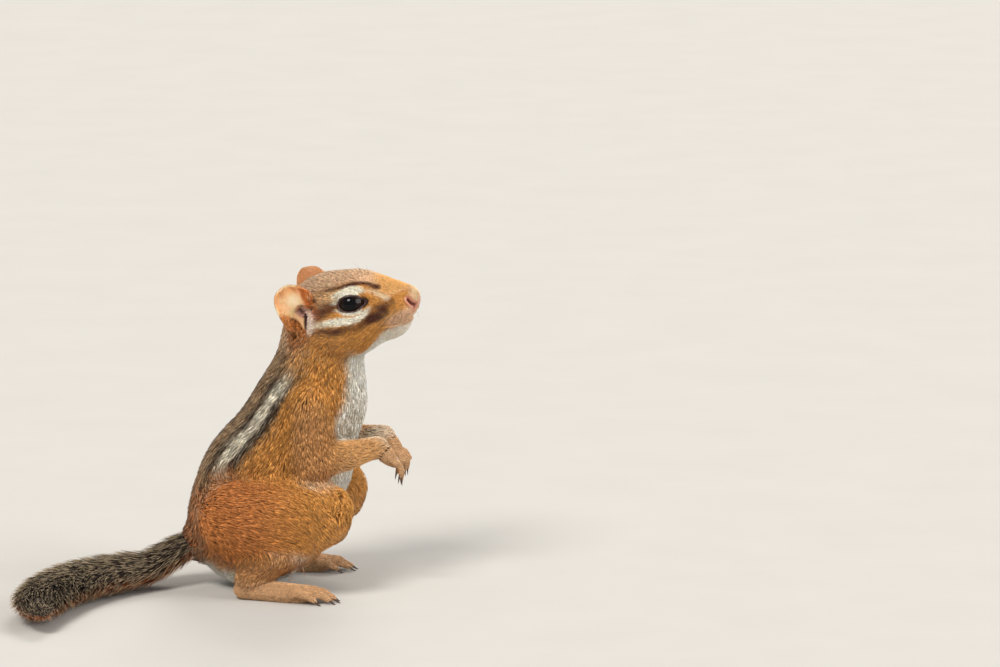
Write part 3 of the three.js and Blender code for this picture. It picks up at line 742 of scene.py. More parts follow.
# %% [markdown]
# ## The skin under the coat
#
# The solids reach out to the tips of the hair, so the skin lies inside them by the coat's depth.
# The same pass presses the line of the mouth and the nostrils into the face. A sculptor would use
# a crease brush; here each point moves along its normal, by an amount that its distances give.

# %% The eye's opening, in a frame of its own
EYE_CENTRE = (0.3, 6.3, -0.1)  # left eye
EYE_LOOKS = (0.2, 0.96, 0.1)
EYE_RADIUS = 4.1
OPENING = (3.3, 2.15)  # half length and half height of the open eye
OPENING_TILT = -0.14  # radians, the front corner down
OPENING_CORNER = 1.0  # how far the front corner is drawn out
CORNER_ANGLE = 0.05
CORNER_SPREAD = 0.4
SOCKET_EDGE = 1.12
LID_EDGE = 1.26  # outer edge of the lids, as a multiple of the opening


def eye_coordinates(level_points):
    """Along the lids, up the lids and outwards from the middle of the nearer eye."""
    outward = unit(np.array(EYE_LOOKS))
    along = unit(np.cross([0, 1, 0.0], [0, 0, 1.0]) - outward * outward[0])
    raised = np.cross(along, outward)
    offset = level_points * mirror_of(level_points) - EYE_CENTRE
    return offset @ along, offset @ raised * np.sign(raised[2]), offset @ outward


def corner_stretch(angle):
    return 1 + OPENING_CORNER / OPENING[0] * ridge(angle - CORNER_ANGLE, CORNER_SPREAD)


def lid_distance(along_by, up_by):
    """1 on the edge of the open eye, less inside and more outside."""
    flat_length = (along_by * math.cos(OPENING_TILT) + up_by * math.sin(OPENING_TILT)) / OPENING[0]
    flat_height = (up_by * math.cos(OPENING_TILT) - along_by * math.sin(OPENING_TILT)) / OPENING[1]
    return np.hypot(flat_length, flat_height) / corner_stretch(np.arctan2(flat_height, flat_length))


# %% Draw the skin in under the coat
DEPTH_ON_FACE = 0.3
CHEEK_DEPTH = 0.7
MOUTH_DEPTH, MOUTH_WIDTH = 0.45, 0.35
NOSTRIL_DEPTH, NOSTRIL_WIDTH = 0.9, 0.4
GROOVE_DEPTH, GROOVE_WIDTH = 0.35, 0.3
NOSE_SWELL = 0.25  # the wing round each nostril
WING_AWAY, WING_WIDTH = 1.0, 0.45

coat_depth = blended("depth")
snout = smoothstep(4, 13, level[:, 0]) * parts[HEAD_STREAM]
cheek = smoothstep(-3, -9, level[:, 2]) * smoothstep(9, 2, level[:, 0]) * parts[HEAD_STREAM]
eye_near = smoothstep(7.5, 4.5, np.linalg.norm(mirrored_level - EYE_CENTRE, axis=1))
coat_depth = coat_depth * (1 - snout) + DEPTH_ON_FACE * snout + CHEEK_DEPTH * cheek
coat_depth = coat_depth * (1 - 0.7 * eye_near) * (1 - bare_nose) * (1 - on_ear) * (1 - on_tail)
coat_depth += MOUTH_DEPTH * ridge(mouth, MOUTH_WIDTH) * parts[HEAD_STREAM] * smoothstep(6, 9, level[:, 0])
coat_depth += NOSTRIL_DEPTH * ridge(nostril, NOSTRIL_WIDTH) + GROOVE_DEPTH * ridge(groove, GROOVE_WIDTH)
wing = NOSE_SWELL * ridge(nostril - WING_AWAY, WING_WIDTH)
coat_depth -= wing * (1 - 0.5 * smoothstep(3, 1.5, mirrored_level[:, 1]))
coat_depth = coat_depth * (1 - 0.8 * ear_mouth)
points = points - normals * coat_depth[:, None]
print("deepest coat", round(float(coat_depth.max()), 2), "mm")

# %% Round off the toes where the claws begin
TOE_END = 0.1  # how far the flesh goes beyond the tip, as a share of the toe's radius
TOE_ROUND = 0.35
CLAW_ZONE = (2, 1.5)  # millimetres round the claw and past it that count as claw

for tip, ahead, radius, length in DIGITS:
    offset = points - BODY_AT - tip
    along_toe = offset @ ahead
    from_axis = offset - along_toe[:, None] * ahead
    in_claw = (along_toe > TOE_END * radius) & (along_toe < length + CLAW_ZONE[1])
    in_claw &= np.linalg.norm(from_axis, axis=1) < CLAW_ZONE[0]
    beyond = along_toe[in_claw] - TOE_END * radius
    kept = from_axis[in_claw] * np.clip(1 - beyond / radius, 0.15, 1)[:, None]
    rounded = TOE_END * radius + TOE_ROUND * radius * (1 - np.exp(-beyond / (TOE_ROUND * radius)))
    points[in_claw] = BODY_AT + tip + rounded[:, None] * ahead + kept
print("toes rounded", len(DIGITS))

# %% Average over neighbours on the skin
edges = read_all(skin.data.edges, "vertices", 2, np.int32)
neighbours = np.bincount(edges.ravel(), minlength=len(points))[:, None]


def gathered(at_first, at_second):
    """Sums values of the edges at the points where they start and end."""
    return np.bincount(edges[:, 0], at_first, len(points)) + np.bincount(edges[:, 1], at_second, len(points))


def averaged(values, rounds):
    for _ in range(rounds):
        columns = [gathered(column[edges[:, 1]], column[edges[:, 0]]) for column in values.T]
        values = 0.5 * values + 0.5 * np.column_stack(columns) / neighbours
    return values


# %% Smooth the mouth of the ear, then press its folds in
MOUTH_ROUNDS = 110
SLIT_DEPTH, SLIT_WIDTH = 0.9, 0.4
HOLLOW_DEPTH = 0.3
TRAGUS_SWELL, TRAGUS_WIDTH = 0.4, 0.7

soft_mouth = smoothstep(0.62, 0.45, ear_up) * smoothstep(-0.2, -0.1, ear_up)
soft_mouth = soft_mouth * smoothstep(1.4, 1.15, np.abs(ear_across))
soft_mouth = (soft_mouth * smoothstep(3, 2, ear_out) * smoothstep(-7.5, -6, ear_out))[:, None]
for _ in range(MOUTH_ROUNDS):
    points = points + soft_mouth * (averaged(points, 1) - points)
set_points(skin.data, points * MM)
normals = normals_of(skin.data)
pressed = SLIT_DEPTH * ridge(slit, SLIT_WIDTH) + HOLLOW_DEPTH * smoothstep(1.1, 0.3, hollow)
pressed -= TRAGUS_SWELL * ridge(tragus, TRAGUS_WIDTH) * smoothstep(0.6, 1.2, slit)
points = points - normals * pressed[:, None]
print("smoothed", int(soft_mouth.sum()), "points at the ears")

# %% Sink the face round the eyes
BROW_HEIGHT = 0.45
BROW_SLOPE = 1.6

level = to_head(points)
along_lid, up_lid, out_lid = eye_coordinates(level)
outside = lid_distance(along_lid, up_lid)
ball = np.sqrt(np.maximum(EYE_RADIUS**2 - along_lid**2 - up_lid**2, 0))
brow = ball + BROW_HEIGHT + BROW_SLOPE * (outside - SOCKET_EDGE)
sunk = 0.8 * smoothstep(2.3, 1.3, outside) * (outside > SOCKET_EDGE) * (out_lid > brow)
lowered = (out_lid - brow) * sunk
level = level - unit(np.array(EYE_LOOKS)) * mirror_of(level) * lowered[:, None]
points = from_head(level)
along_lid, up_lid, out_lid = eye_coordinates(level)
print("lowered by up to", round(float(lowered.max()), 2), "mm")

# %% Wrap the skin round the eyeballs
BEHIND_BALL, OVER_BALL = 0.5, 0.12  # how far the skin keeps inside the ball and outside it

reach = np.sqrt(along_lid**2 + up_lid**2 + out_lid**2)
around_eye = (out_lid > 0) & (reach < EYE_RADIUS + 2)
under_lid, over_lid = np.minimum(reach, EYE_RADIUS - BEHIND_BALL), np.maximum(reach, EYE_RADIUS + OVER_BALL)
wanted = np.where(outside < SOCKET_EDGE, under_lid, over_lid)
stretch = np.where(around_eye, wanted / np.maximum(reach, 0.1), 1)
level = to_head(points)
eye_middle = np.array(EYE_CENTRE) * mirror_of(level)
level = eye_middle + (level - eye_middle) * stretch[:, None]
points = from_head(level)
set_points(skin.data, points * MM)
normals = normals_of(skin.data)
body_points = to_body(points)
print("points moved at the eyes", int((stretch != 1).sum()))

# %% [markdown]
# ## Markings
#
# Colours are mixed point by point, as a painter lays coats: a ground colour for each part of the
# body, then bands along drawn lines with soft edges. A painted picture would need a flat map with
# its seams; colours on the points have none. Skin and hair read the same colours, so that a
# marking shows the same between the hairs.


# %% Colours
def colour(red, green, blue):
    """A colour as the eye sees it, from 0 to 255, in the linear values that light needs."""
    value = np.array([red, green, blue]) / 255
    return np.where(value <= 0.04045, value / 12.92, ((value + 0.055) / 1.055) ** 2.4)


OCHRE = colour(214, 152, 76)
GOLD = colour(230, 174, 98)
CREAM = colour(255, 246, 224)
BELLY_WHITE = colour(255, 247, 232)
CROWN_PINK = colour(234, 192, 154)
GREY_BROWN = colour(152, 126, 98)
RUFOUS = colour(192, 118, 64)
DARK_RED = colour(82, 36, 12)
TEMPLE_BROWN = colour(96, 46, 12)
MUZZLE_BROWN = colour(122, 70, 26)
STRIPE_DARK = colour(50, 36, 28)
TEMPLE = colour(220, 176, 124)
LIP_PINK = colour(234, 194, 164)
NOSE_PINK = colour(204, 138, 112)
NOSE_TAN = colour(255, 222, 184)
PAINTED_SHADE_RED = colour(84, 26, 16)
MAUVE = colour(150, 100, 98)
LIMB_TAN = colour(206, 156, 98)
FOOT_TAN = colour(212, 168, 124)
EAR_TAN = colour(240, 192, 142)
EAR_PAINTED_GLOW = colour(228, 152, 86)
EAR_RIM_PAINTED_LIGHT = colour(252, 222, 178)
EAR_BROWN = colour(184, 96, 26)
EAR_BACK = colour(208, 150, 100)
EAR_PAINTED_HIGHLIGHT = colour(255, 226, 194)
LOBE_BROWN = colour(194, 122, 58)
CANAL_PAINTED_SHADOW = colour(70, 34, 32)
TRAGUS_PALE = colour(246, 222, 206)


def paint(ground, tint, mask):
    mask = np.clip(mask, 0, 1)[:, None]
    return ground * (1 - mask) + tint * mask


def all_over(tint, count):
    return np.tile(tint, (count, 1))


def band(distance, half_width, softness=0.35):
    return 1 - smoothstep(half_width - softness, half_width + softness, distance)


def dab(places, centre, size, softness):
    return band(np.linalg.norm(places - centre, axis=1), size, softness)


def ripple(places, scale, seed):
    """Soft blotches between -0.5 and 0.5, from a few crossed waves."""
    draw = np.random.default_rng(seed)
    total = np.zeros(len(places))
    for _ in range(9):
        way = unit(draw.normal(size=3))
        wave_length = scale * draw.uniform(0.6, 1.7)
        total += np.sin(places @ way * (2 * math.pi / wave_length) + draw.uniform(0, 6.3))
    return np.clip(total / 9, -0.5, 0.5)


# %% Markings of the head
# Lines are drawn in the level frame of the head: forwards, outwards, upwards.
UPPER_CREAM = ((4.9, 7.8, 3.1), (2.9, 8.5, 4.2), (0.5, 9.0, 4.3), (-1.8, 9.5, 3.9), (-3.0, 9.8, 3.5))
LOWER_CREAM = (
    (5.4, 8.7, -2.2), (4.6, 9.6, -3.3), (2.5, 10.9, -4.3),
    (-0.2, 11.8, -4.3), (-7.2, 12, -3.2), (-11.4, 11.2, -2.9),
)
UPPER_DARK = ((9.5, 5.1, 2.6), (7.5, 5.5, 4.1), (5.4, 6.5, 5.2), (0.3, 8.2, 5.9), (-5.9, 8.5, 6.0))
LOWER_DARK = (
    (9.7, 7.2, -4.9), (7.1, 8.2, -5.6), (4.4, 10.2, -5.9), (1.7, 11.5, -6.6),
    (-1.5, 12.3, -6.9), (-6.4, 12.4, -6.2), (-11.2, 11.3, -5.0), (-16, 11, -6.2),
)
TEMPLE_RED = ((-4.2, 10.6, 0.9), (-6.9, 10.9, 0.6), (-10.4, 10.8, -0.4))
MUZZLE_PALE = ((7.2, 6.5, 2.4), (8.8, 6.1, 1.4), (10.3, 6.2, 0.1), (11.8, 6.3, -1.2))
MUZZLE_DARK = ((5.8, 8.7, -3.9), (7.7, 7.8, -3.3), (10.4, 7.0, -3.2), (12.4, 6.4, -2.9))
CORNER_DAB = (6.1, 7.7, 0.5)
RUFOUS_UNDER_EAR = (-17.8, 11, -6.5)
CROWN_EDGE, CROWN_EDGE_FALL = 5.7, 0.045  # the crown's colour reaches lower towards the nose


def head_ground(ahead, out, up):
    """Colours of crown, temple, cheek, throat and muzzle, which flow into one another."""
    tint = all_over(OCHRE, len(ahead))
    tint = paint(tint, TEMPLE, smoothstep(-0.5, 1.8, up) * smoothstep(0, -3, ahead))
    tint = paint(tint, GREY_BROWN, smoothstep(-15, -20, ahead) * smoothstep(-15, -9, up + 0.4 * ahead) * 0.85)
    crown_edge = CROWN_EDGE - CROWN_EDGE_FALL * np.clip(ahead, 0, 12) ** 2
    tint = paint(tint, CROWN_PINK, smoothstep(crown_edge - 0.5, crown_edge + 0.7, up))
    tint = paint(tint, GOLD, smoothstep(7, 11, ahead) * smoothstep(-1.5, 0.5, up) * 0.85)
    throat = smoothstep(-10.5, -13.5, up - 0.25 * np.minimum(ahead, 6)) * smoothstep(6.5, 3.8, out)
    tint = paint(tint, BELLY_WHITE, throat)
    tint = paint(tint, GOLD, smoothstep(-4.5, -6, up) * smoothstep(6, 10, ahead) * 0.6)
    lip = smoothstep(-5.4, -7.6, up + 0.25 * (12 - ahead)) * smoothstep(7, 12, ahead)
    tint = paint(tint, LIP_PINK, lip * 0.85)
    return paint(tint, BELLY_WHITE, smoothstep(-9.8, -10.8, up) * smoothstep(5, 9, ahead) * 0.8)


def head_colours(level_points, noise):
    """The ground colours, and on them the dark and the cream lines past the eye."""
    place = on_left(level_points)
    tint = head_ground(*place.T)
    tint = paint(tint, MUZZLE_BROWN, band(line_distance(place, MUZZLE_DARK), 1.3, 0.8) * (0.85 + 0.9 * noise))
    tint = paint(tint, DARK_RED, band(line_distance(place, UPPER_DARK), 0.95, 0.4) * (1.1 + 0.4 * noise))
    tint = paint(tint, CREAM, band(line_distance(place, MUZZLE_PALE), 0.75, 0.6) * 0.6)
    tint = paint(tint, TEMPLE_BROWN, band(line_distance(place, TEMPLE_RED), 2.1, 0.9) * (0.95 + 0.5 * noise))
    tint = paint(tint, DARK_RED, band(line_distance(place, LOWER_DARK), 1.6, 0.7) * (0.92 + 0.8 * noise))
    tint = paint(tint, CREAM, band(line_distance(place, LOWER_CREAM), 1.35, 0.35))
    tint = paint(tint, CREAM, band(line_distance(place, UPPER_CREAM), 1.2, 0.35))
    tint = paint(tint, MAUVE * 0.7, dab(place, CORNER_DAB, 0.8, 0.5) * 0.8)
    return paint(tint, RUFOUS, dab(place, RUFOUS_UNDER_EAR, 2.6, 1.6) * 0.7)


# %% Markings of the trunk and the legs
# Widths are measured round the body from the middle of the back.
BACK_SPINE = ((-44, 14), (-35, 15), (-29, 27), (-23, 41), (-16.5, 56), (-12.5, 68), (-11, 82))
MID_STRIPE = 1.2
CREAM_STRIPE_AT = 12.5
CREAM_STRIPE = 1.9
EDGE_STRIPE = 1.3
WHITE_FROM = 2.1  # radians from the middle of the back to the white of the belly


def back_coordinates(body_points):
    """Millimetres round the body from the middle of the back, that angle, and height up the spine."""
    flat = body_points[:, [0, 2]]
    best = np.full(len(flat), 1e9)
    nearest, tangent = np.zeros_like(flat), np.zeros_like(flat)
    for start, end in zip(BACK_SPINE, BACK_SPINE[1:]):
        place = segment_nearest(flat, start, end)
        distance = np.linalg.norm(flat - place, axis=1)
        closer = distance < best
        best = np.where(closer, distance, best)
        nearest[closer] = place[closer]
        tangent[closer] = unit(np.subtract(end, start))
    dorsal = np.column_stack([-tangent[:, 1], tangent[:, 0]])
    towards_back = ((flat - nearest) * dorsal).sum(1)
    radius = np.sqrt(body_points[:, 1] ** 2 + best**2)
    angle = np.arctan2(np.abs(body_points[:, 1]), towards_back)
    return angle * radius, angle, nearest[:, 1]


def trunk_colours(body_points, noise):
    arc, angle, height = back_coordinates(body_points)
    white_from = WHITE_FROM + 0.4 * smoothstep(50, 66, height)
    white = smoothstep(white_from - 0.14, white_from + 0.14, angle + 0.2 * noise)
    tint = paint(all_over(OCHRE, len(arc)), BELLY_WHITE, white)
    tint = paint(tint, GREY_BROWN, band(arc + 8 * smoothstep(58, 70, height), 17, 3) * 0.85)
    tint = paint(tint, RUFOUS, smoothstep(32, 17, height) * smoothstep(2.3, 1.5, angle) * 0.8)
    off_thigh = 1 - smoothstep(0.5, 0.85, parts["thigh"])
    striped = smoothstep(69, 60, height) * smoothstep(14, 26, height) * off_thigh
    spread = arc + 0.8 * noise
    from_cream = np.abs(spread - CREAM_STRIPE_AT)
    tint = paint(tint, STRIPE_DARK, band(spread, MID_STRIPE, 0.5) * striped * 0.9)
    tint = paint(tint, STRIPE_DARK, band(from_cream, CREAM_STRIPE + 2 * EDGE_STRIPE, 0.5) * striped * 0.9)
    tint = paint(tint, CREAM, band(from_cream, CREAM_STRIPE, 0.5) * striped)
    return paint(tint, CROWN_PINK, smoothstep(68, 78, height) * band(arc, 12, 4) * 0.6)


def limb_colours(body_points):
    inner = smoothstep(12, 8, np.abs(body_points[:, 1])) * smoothstep(38, 44, body_points[:, 2])
    tan = paint(all_over(LIMB_TAN, len(body_points)), BELLY_WHITE, 0.6 * inner)
    tan = paint(tan, RUFOUS, 0.35 * parts["shin"] + 0.3 * parts["upperarm"])
    return paint(tan, FOOT_TAN, parts["forepaw"] + parts["hindfoot"])


# %% Colours of trunk, legs, tail and head
BLOTCH_SIZE, BLOTCH_SEED = 3.2, 11
WHITE_BEHIND_EAR = ((-21.5, 7.5, 0.5), (-21.3, 8.2, -2.5), (-20, 9.8, -6.5))

blotch = ripple(points, BLOTCH_SIZE, BLOTCH_SEED)
on_head = smoothstep(0.35, 0.65, parts[HEAD_STREAM])
on_limb = np.clip(sum(parts[name] for name in ("upperarm", "forearm", "forepaw", "shin", "hindfoot")), 0, 1)
on_thigh = smoothstep(0.25, 0.85, parts["thigh"]) * smoothstep(8, 12, np.abs(body_points[:, 1]))
thigh_coat = paint(all_over(OCHRE, len(points)), RUFOUS, smoothstep(-8, -32, body_points[:, 0]) * 0.8)
coat = paint(trunk_colours(body_points, blotch), thigh_coat, on_thigh)
coat = paint(coat, limb_colours(body_points), smoothstep(0.3, 0.7, on_limb))
coat = paint(coat, head_colours(level, blotch), on_head)
coat = paint(coat, RUFOUS * 0.8, on_tail)
coat = paint(coat, CREAM, band(line_distance(on_left(level), WHITE_BEHIND_EAR), 1.7, 0.9) * 0.85)
print("ground colours", coat.mean(0).round(3))

# %% Colours of the ears
EAR_HIGHLIGHT_AT = (-0.6, 11)


def for_each_ear(which):
    """An axis of the nearer ear, at each point of the skin."""
    left, right = ear_axes(1)[which] @ TURN.T, ear_axes(-1)[which] @ TURN.T
    return np.where(level[:, 1:2] > 0, left, right)


EAR_UP_AXIS, EAR_OPEN_AXIS = 1, 2
inside_cup = smoothstep(-0.25, 0.25, (normals * for_each_ear(EAR_OPEN_AXIS)).sum(1))
to_tip = (ear_up - 0.5) * 2
# Painted highlight: a bright peach dab high in the cup stands for light on the inside of the ear.
ear_tint = paint(all_over(EAR_TAN, len(points)), EAR_PAINTED_HIGHLIGHT, dab(ear_flat, EAR_HIGHLIGHT_AT, 1.6, 1.8))
# Painted glow: orange towards the thin edges and the tip stands for light shining through the ear.
ear_tint = paint(ear_tint, EAR_PAINTED_GLOW, smoothstep(0.5, 0.95, np.maximum(np.abs(ear_across), to_tip)) * 0.7)
# Painted light: the back rim and the tip are paler where light catches the thin edge.
ear_tint = paint(ear_tint, EAR_RIM_PAINTED_LIGHT, smoothstep(0.88, 0.98, np.maximum(ear_across, to_tip)) * 0.9)
brown_band = smoothstep(-0.62, -0.8, ear_across) * smoothstep(1.0, 0.85, ear_up)
ear_tint = paint(ear_tint, EAR_BROWN, brown_band * 0.95)
# Painted shade: the hollow at the foot of the cup is darkened to mauve, and darker still along its edge.
ear_tint = paint(ear_tint, MAUVE, band(hollow, 0.95, 0.3) * 0.85)
hollow_edge_shade = band(np.abs(hollow - 0.95), 0.12, 0.1) * (np.abs(ear_flat[:, 0] + 2.2) < 1.2)
ear_tint = paint(ear_tint, MAUVE * 0.35, hollow_edge_shade * 0.7)
ear_tint = paint(ear_tint, TRAGUS_PALE, band(tragus, 0.9, 0.5))
# Painted shade in the pressed slit before the hollow.
ear_tint = paint(ear_tint, PAINTED_SHADE_RED * 0.25, band(slit, 0.46, 0.2))
ear_tint = paint(all_over(EAR_BACK, len(points)), ear_tint, inside_cup)
print("inside of the cups", int((inside_cup * on_ear).sum()), "points")

# %% Lay the ears' colours on the coat
at_front_rim = smoothstep(-0.6, -0.8, ear_across) * smoothstep(-1.5, -1.25, ear_across) * near_ear
at_front_rim = at_front_rim * smoothstep(0.2, 0.35, ear_up) * (ear_out > -1.5)
coat = paint(coat, EAR_BROWN, at_front_rim * 0.8)
coat = paint(coat, ear_tint, np.maximum(on_ear, ear_mouth))
coat = paint(coat, TRAGUS_PALE, band(tragus, 1.0, 0.5) * (1 - lobe_fur))
# Painted shadow of the ear canal in the middle of the hollow.
coat = paint(coat, CANAL_PAINTED_SHADOW, band(hollow, 0.4, 0.3) * 0.92)
lobe_zone = lobe_fur * smoothstep(-0.8, -0.2, ear_flat[:, 0]) * smoothstep(1.2, 1.0, ear_across)
lobe_zone = lobe_zone * ((ear_out > -6.5) & (ear_out < 2.5) & (ear_up > -0.12))
lobe_zone = lobe_zone * np.maximum(1 - on_ear, inside_cup)
coat = paint(coat, LOBE_BROWN, lobe_zone)
print("lobes", int(lobe_zone.sum()), "points")

# %% Colours of the nose and round the eyes
EYE_RING = 1.62  # how far the cream round the eye reaches, 1 at the edge of the open eye

coat = paint(coat, NOSE_TAN, nose_tip * smoothstep(-6.2, -4.6, level[:, 2]) * 0.8)
coat = paint(coat, NOSE_PINK, bare_nose)
# Painted shade: the pressed nostrils and the groove between them are darkened.
coat = paint(coat, PAINTED_SHADE_RED, ridge(nostril, 0.5))
coat = paint(coat, PAINTED_SHADE_RED * 1.6, ridge(groove, GROOVE_WIDTH) * 0.6)
along_lid, up_lid, out_lid = eye_coordinates(level)
outside = lid_distance(along_lid, up_lid)
eye_ring = band(outside, EYE_RING, 0.14) * smoothstep(0.4, 1.3, np.abs(up_lid)) * (out_lid > 0)
coat = paint(coat, CREAM, eye_ring * smoothstep(3.6, 2.4, along_lid))
coat = paint(coat, MAUVE * 0.4, band(outside, LID_EDGE, 0.07) * (out_lid > 0))
print("mean colour", coat.mean(0).round(3))

# %% [markdown]
# ## Direction of the hair at every point
#
# The streams give a rough direction. On the head the hair fans out from the nose, and it parts
# round the eyes. The direction is laid flat on the skin and then averaged with its neighbours
# until it flows. Where it still parts, hair stands denser and shorter, so that no skin shows.


# %% Comb the skin
KNEE_LIE = (0.1, 0, -1.3)  # over the knee the hair turns down to the shin
FAN_FROM = (21, 0, -3)
COMB_ROUNDS = 12


def laid_flat(directions, against):
    return unit(directions - against * (directions * against).sum(1, keepdims=True))


over_knee = parts["thigh"] * smoothstep(-20, -9, body_points[:, 0])
lie = lie + np.outer(over_knee, KNEE_LIE)
lie = paint(lie, unit(points - from_head(FAN_FROM)), on_head)
lie = paint(lie, for_each_ear(EAR_UP_AXIS), on_ear)
lie = laid_flat(averaged(laid_flat(lie, normals), COMB_ROUNDS), normals)
from_eye = laid_flat(points - from_head(np.array(EYE_CENTRE) * mirror_of(level)), normals)
inwards = np.minimum((lie * from_eye).sum(1, keepdims=True), 0)
parting = smoothstep(2.1, 1.2, outside) * (out_lid > 0)
lie = laid_flat(lie - from_eye * inwards * 1.25 * parting[:, None], normals)
print("combed", len(lie), "points")

# %% Find where the hair parts
PARTING_ROUNDS = 25
PARTING_SPAN = (0.03, 0.16)  # how fast directions spread apart, a millimetre

apart = points[edges[:, 1]] - points[edges[:, 0]]
spreading = ((lie[edges[:, 1]] - lie[edges[:, 0]]) * apart).sum(1) / (apart**2).sum(1).clip(1e-4)
spreading = gathered(spreading, spreading)[:, None] / neighbours
parted = smoothstep(*PARTING_SPAN, averaged(spreading, PARTING_ROUNDS)[:, 0]) * (1 - on_head)
print("the hair parts at", int(parted.sum()), "points")

# %% [markdown]
# ## The skin's own map
#
# Every hair takes its place on a flat map from the skin below its root, so that a picture baked
# from the coat keeps each hair's colour. The map is an unwrap of the skin itself.

# %% Unwrap the skin
BAKE_MAP = "OFBake"


def unwrap():
    bpy.ops.uv.smart_project(angle_limit=math.radians(66), island_margin=0.002)


skin.data.uv_layers.new(name=BAKE_MAP)
in_edit_mode(skin, unwrap)
skin.data.calc_loop_triangles()
triangles = read_all(skin.data.loop_triangles, "vertices", 3, np.int32)
corners = read_all(skin.data.loop_triangles, "loops", 3, np.int32)
corner_places = read_all(skin.data.uv_layers[BAKE_MAP].data, "uv", 2)[corners]
print("map spans", corner_places.min(), "to", corner_places.max())

# %% Give the skin its colours
COLOUR_LAYER = "coat"
UNDER_COAT = 0.8  # the skin between the hairs lies in their shade


def set_colours(mesh, tints):
    layer = mesh.color_attributes.new(name=COLOUR_LAYER, type="FLOAT_COLOR", domain="POINT")
    values = np.ones((len(tints), 4), np.float32)
    values[:, :3] = np.clip(tints, 0, 1)
    layer.data.foreach_set("color", values.ravel())


shade = 1 - (1 - UNDER_COAT) * (1 - bare_ear) * (1 - bare_nose)
set_colours(skin.data, coat * shade[:, None])
print("skin shaded to", round(float(shade.min()), 2))

# %% [markdown]
# ## Hairs as tufts
#
# Blender's own hair is a curve that only its renderer knows, and this coat has to be solid. So a
# tuft is a slim spindle of a few faces: a root point, a three-sided waist and a tip. It leaves the
# skin at a slant and lies down along the coat, its flat side to the skin. Waist and tip are set
# over the nearest skin, so that a tuft follows a round flank. All tufts of a piece are one mesh.

# %% Sow tufts on the skin
over_skin = BVHTree.FromPolygons([tuple(p) for p in points], [tuple(t) for t in triangles.tolist()])
first_side = points[triangles[:, 1]] - points[triangles[:, 0]]
second_side = points[triangles[:, 2]] - points[triangles[:, 0]]
triangle_areas = 0.5 * np.linalg.norm(np.cross(first_side, second_side), axis=1)
print("skin area", int(triangle_areas.sum()), "square millimetres")


def at_triangles(values, chosen, shares):
    return (values[triangles[chosen]] * shares[:, :, None]).sum(1)


def value_at(values, chosen, shares):
    return at_triangles(values[:, None], chosen, shares)[:, 0]


def sow(density, seed):
    """Triangles and shares of their corners for roots, as many a square millimetre as density says."""
    draw = np.random.default_rng(seed)
    wanted = np.cumsum(triangle_areas * density[triangles].mean(1))
    count = int(wanted[-1])
    chosen = np.searchsorted(wanted, (np.arange(count) + draw.random(count)) * wanted[-1] / count)
    chosen = np.minimum(chosen, len(triangles) - 1)
    first, second = draw.random(count), draw.random(count)
    beyond = first + second > 1
    first[beyond], second[beyond] = 1 - first[beyond], 1 - second[beyond]
    return chosen, np.column_stack([1 - first - second, first, second]), draw


def rest_on_skin(places, heights):
    """The nearest skin below each place, raised by a height, and the hair's direction there."""
    found = [over_skin.find_nearest(Vector(place)) for place in places]
    index = triangles[np.array([hit[2] for hit in found]), 0]
    return np.array([hit[0] for hit in found]) + normals[index] * heights[:, None], index


# %% Faces of one tuft and their places on the map
PATCH = 0.003  # width of a tuft's own place on the map
RING = np.array([[-0.5, 0.0], [0.0, 1.0], [0.5, 0.0]])
RING_PLACES = ((-0.5, 0.0), (0.0, 0.5), (0.5, -0.5))
BLADE_THICKNESS = 0.5


def tuft_faces(stops):
    """Triangles of a tuft with this many points along it, and the map places of their corners."""
    rings = stops - 2
    faces, places = [], []
    along = np.linspace(-0.5, 0.5, stops)
    for j, (left, right) in enumerate(RING_PLACES):
        a, b = 1 + j, 1 + (j + 1) % 3
        faces.append((0, b, a))
        places += [(0, along[0]), (right, along[1]), (left, along[1])]
        for k in range(rings - 1):
            low, high = along[k + 1], along[k + 2]
            a, b = 1 + k * 3 + j, 1 + k * 3 + (j + 1) % 3
            faces += [(a, b, b + 3), (a, b + 3, a + 3)]
            places += [(left, low), (right, low), (right, high), (left, low), (right, high), (left, high)]
        a, b = 1 + (rings - 1) * 3 + j, 1 + (rings - 1) * 3 + (j + 1) % 3
        faces.append((a, b, rings * 3 + 1))
        places += [(left, along[-2]), (right, along[-2]), (0, along[-1])]
    return np.array(faces), np.array(places) * PATCH


def tuft_points(spine, sides, widths):
    """Root, rings and tip of each tuft, laid out as tufts x points x 3."""
    ahead = unit(np.gradient(spine, axis=1))
    across = unit(sides[:, None, :] - ahead * (sides[:, None, :] * ahead).sum(2, keepdims=True))
    above = np.cross(across, ahead)
    section = across[:, 1:-1, None] * RING[:, :1] + above[:, 1:-1, None] * RING[:, 1:] * BLADE_THICKNESS
    ring = spine[:, 1:-1, None, :] + section * widths[:, :, None, None]
    return np.concatenate([spine[:, :1], ring.reshape(len(spine), -1, 3), spine[:, -1:]], 1)


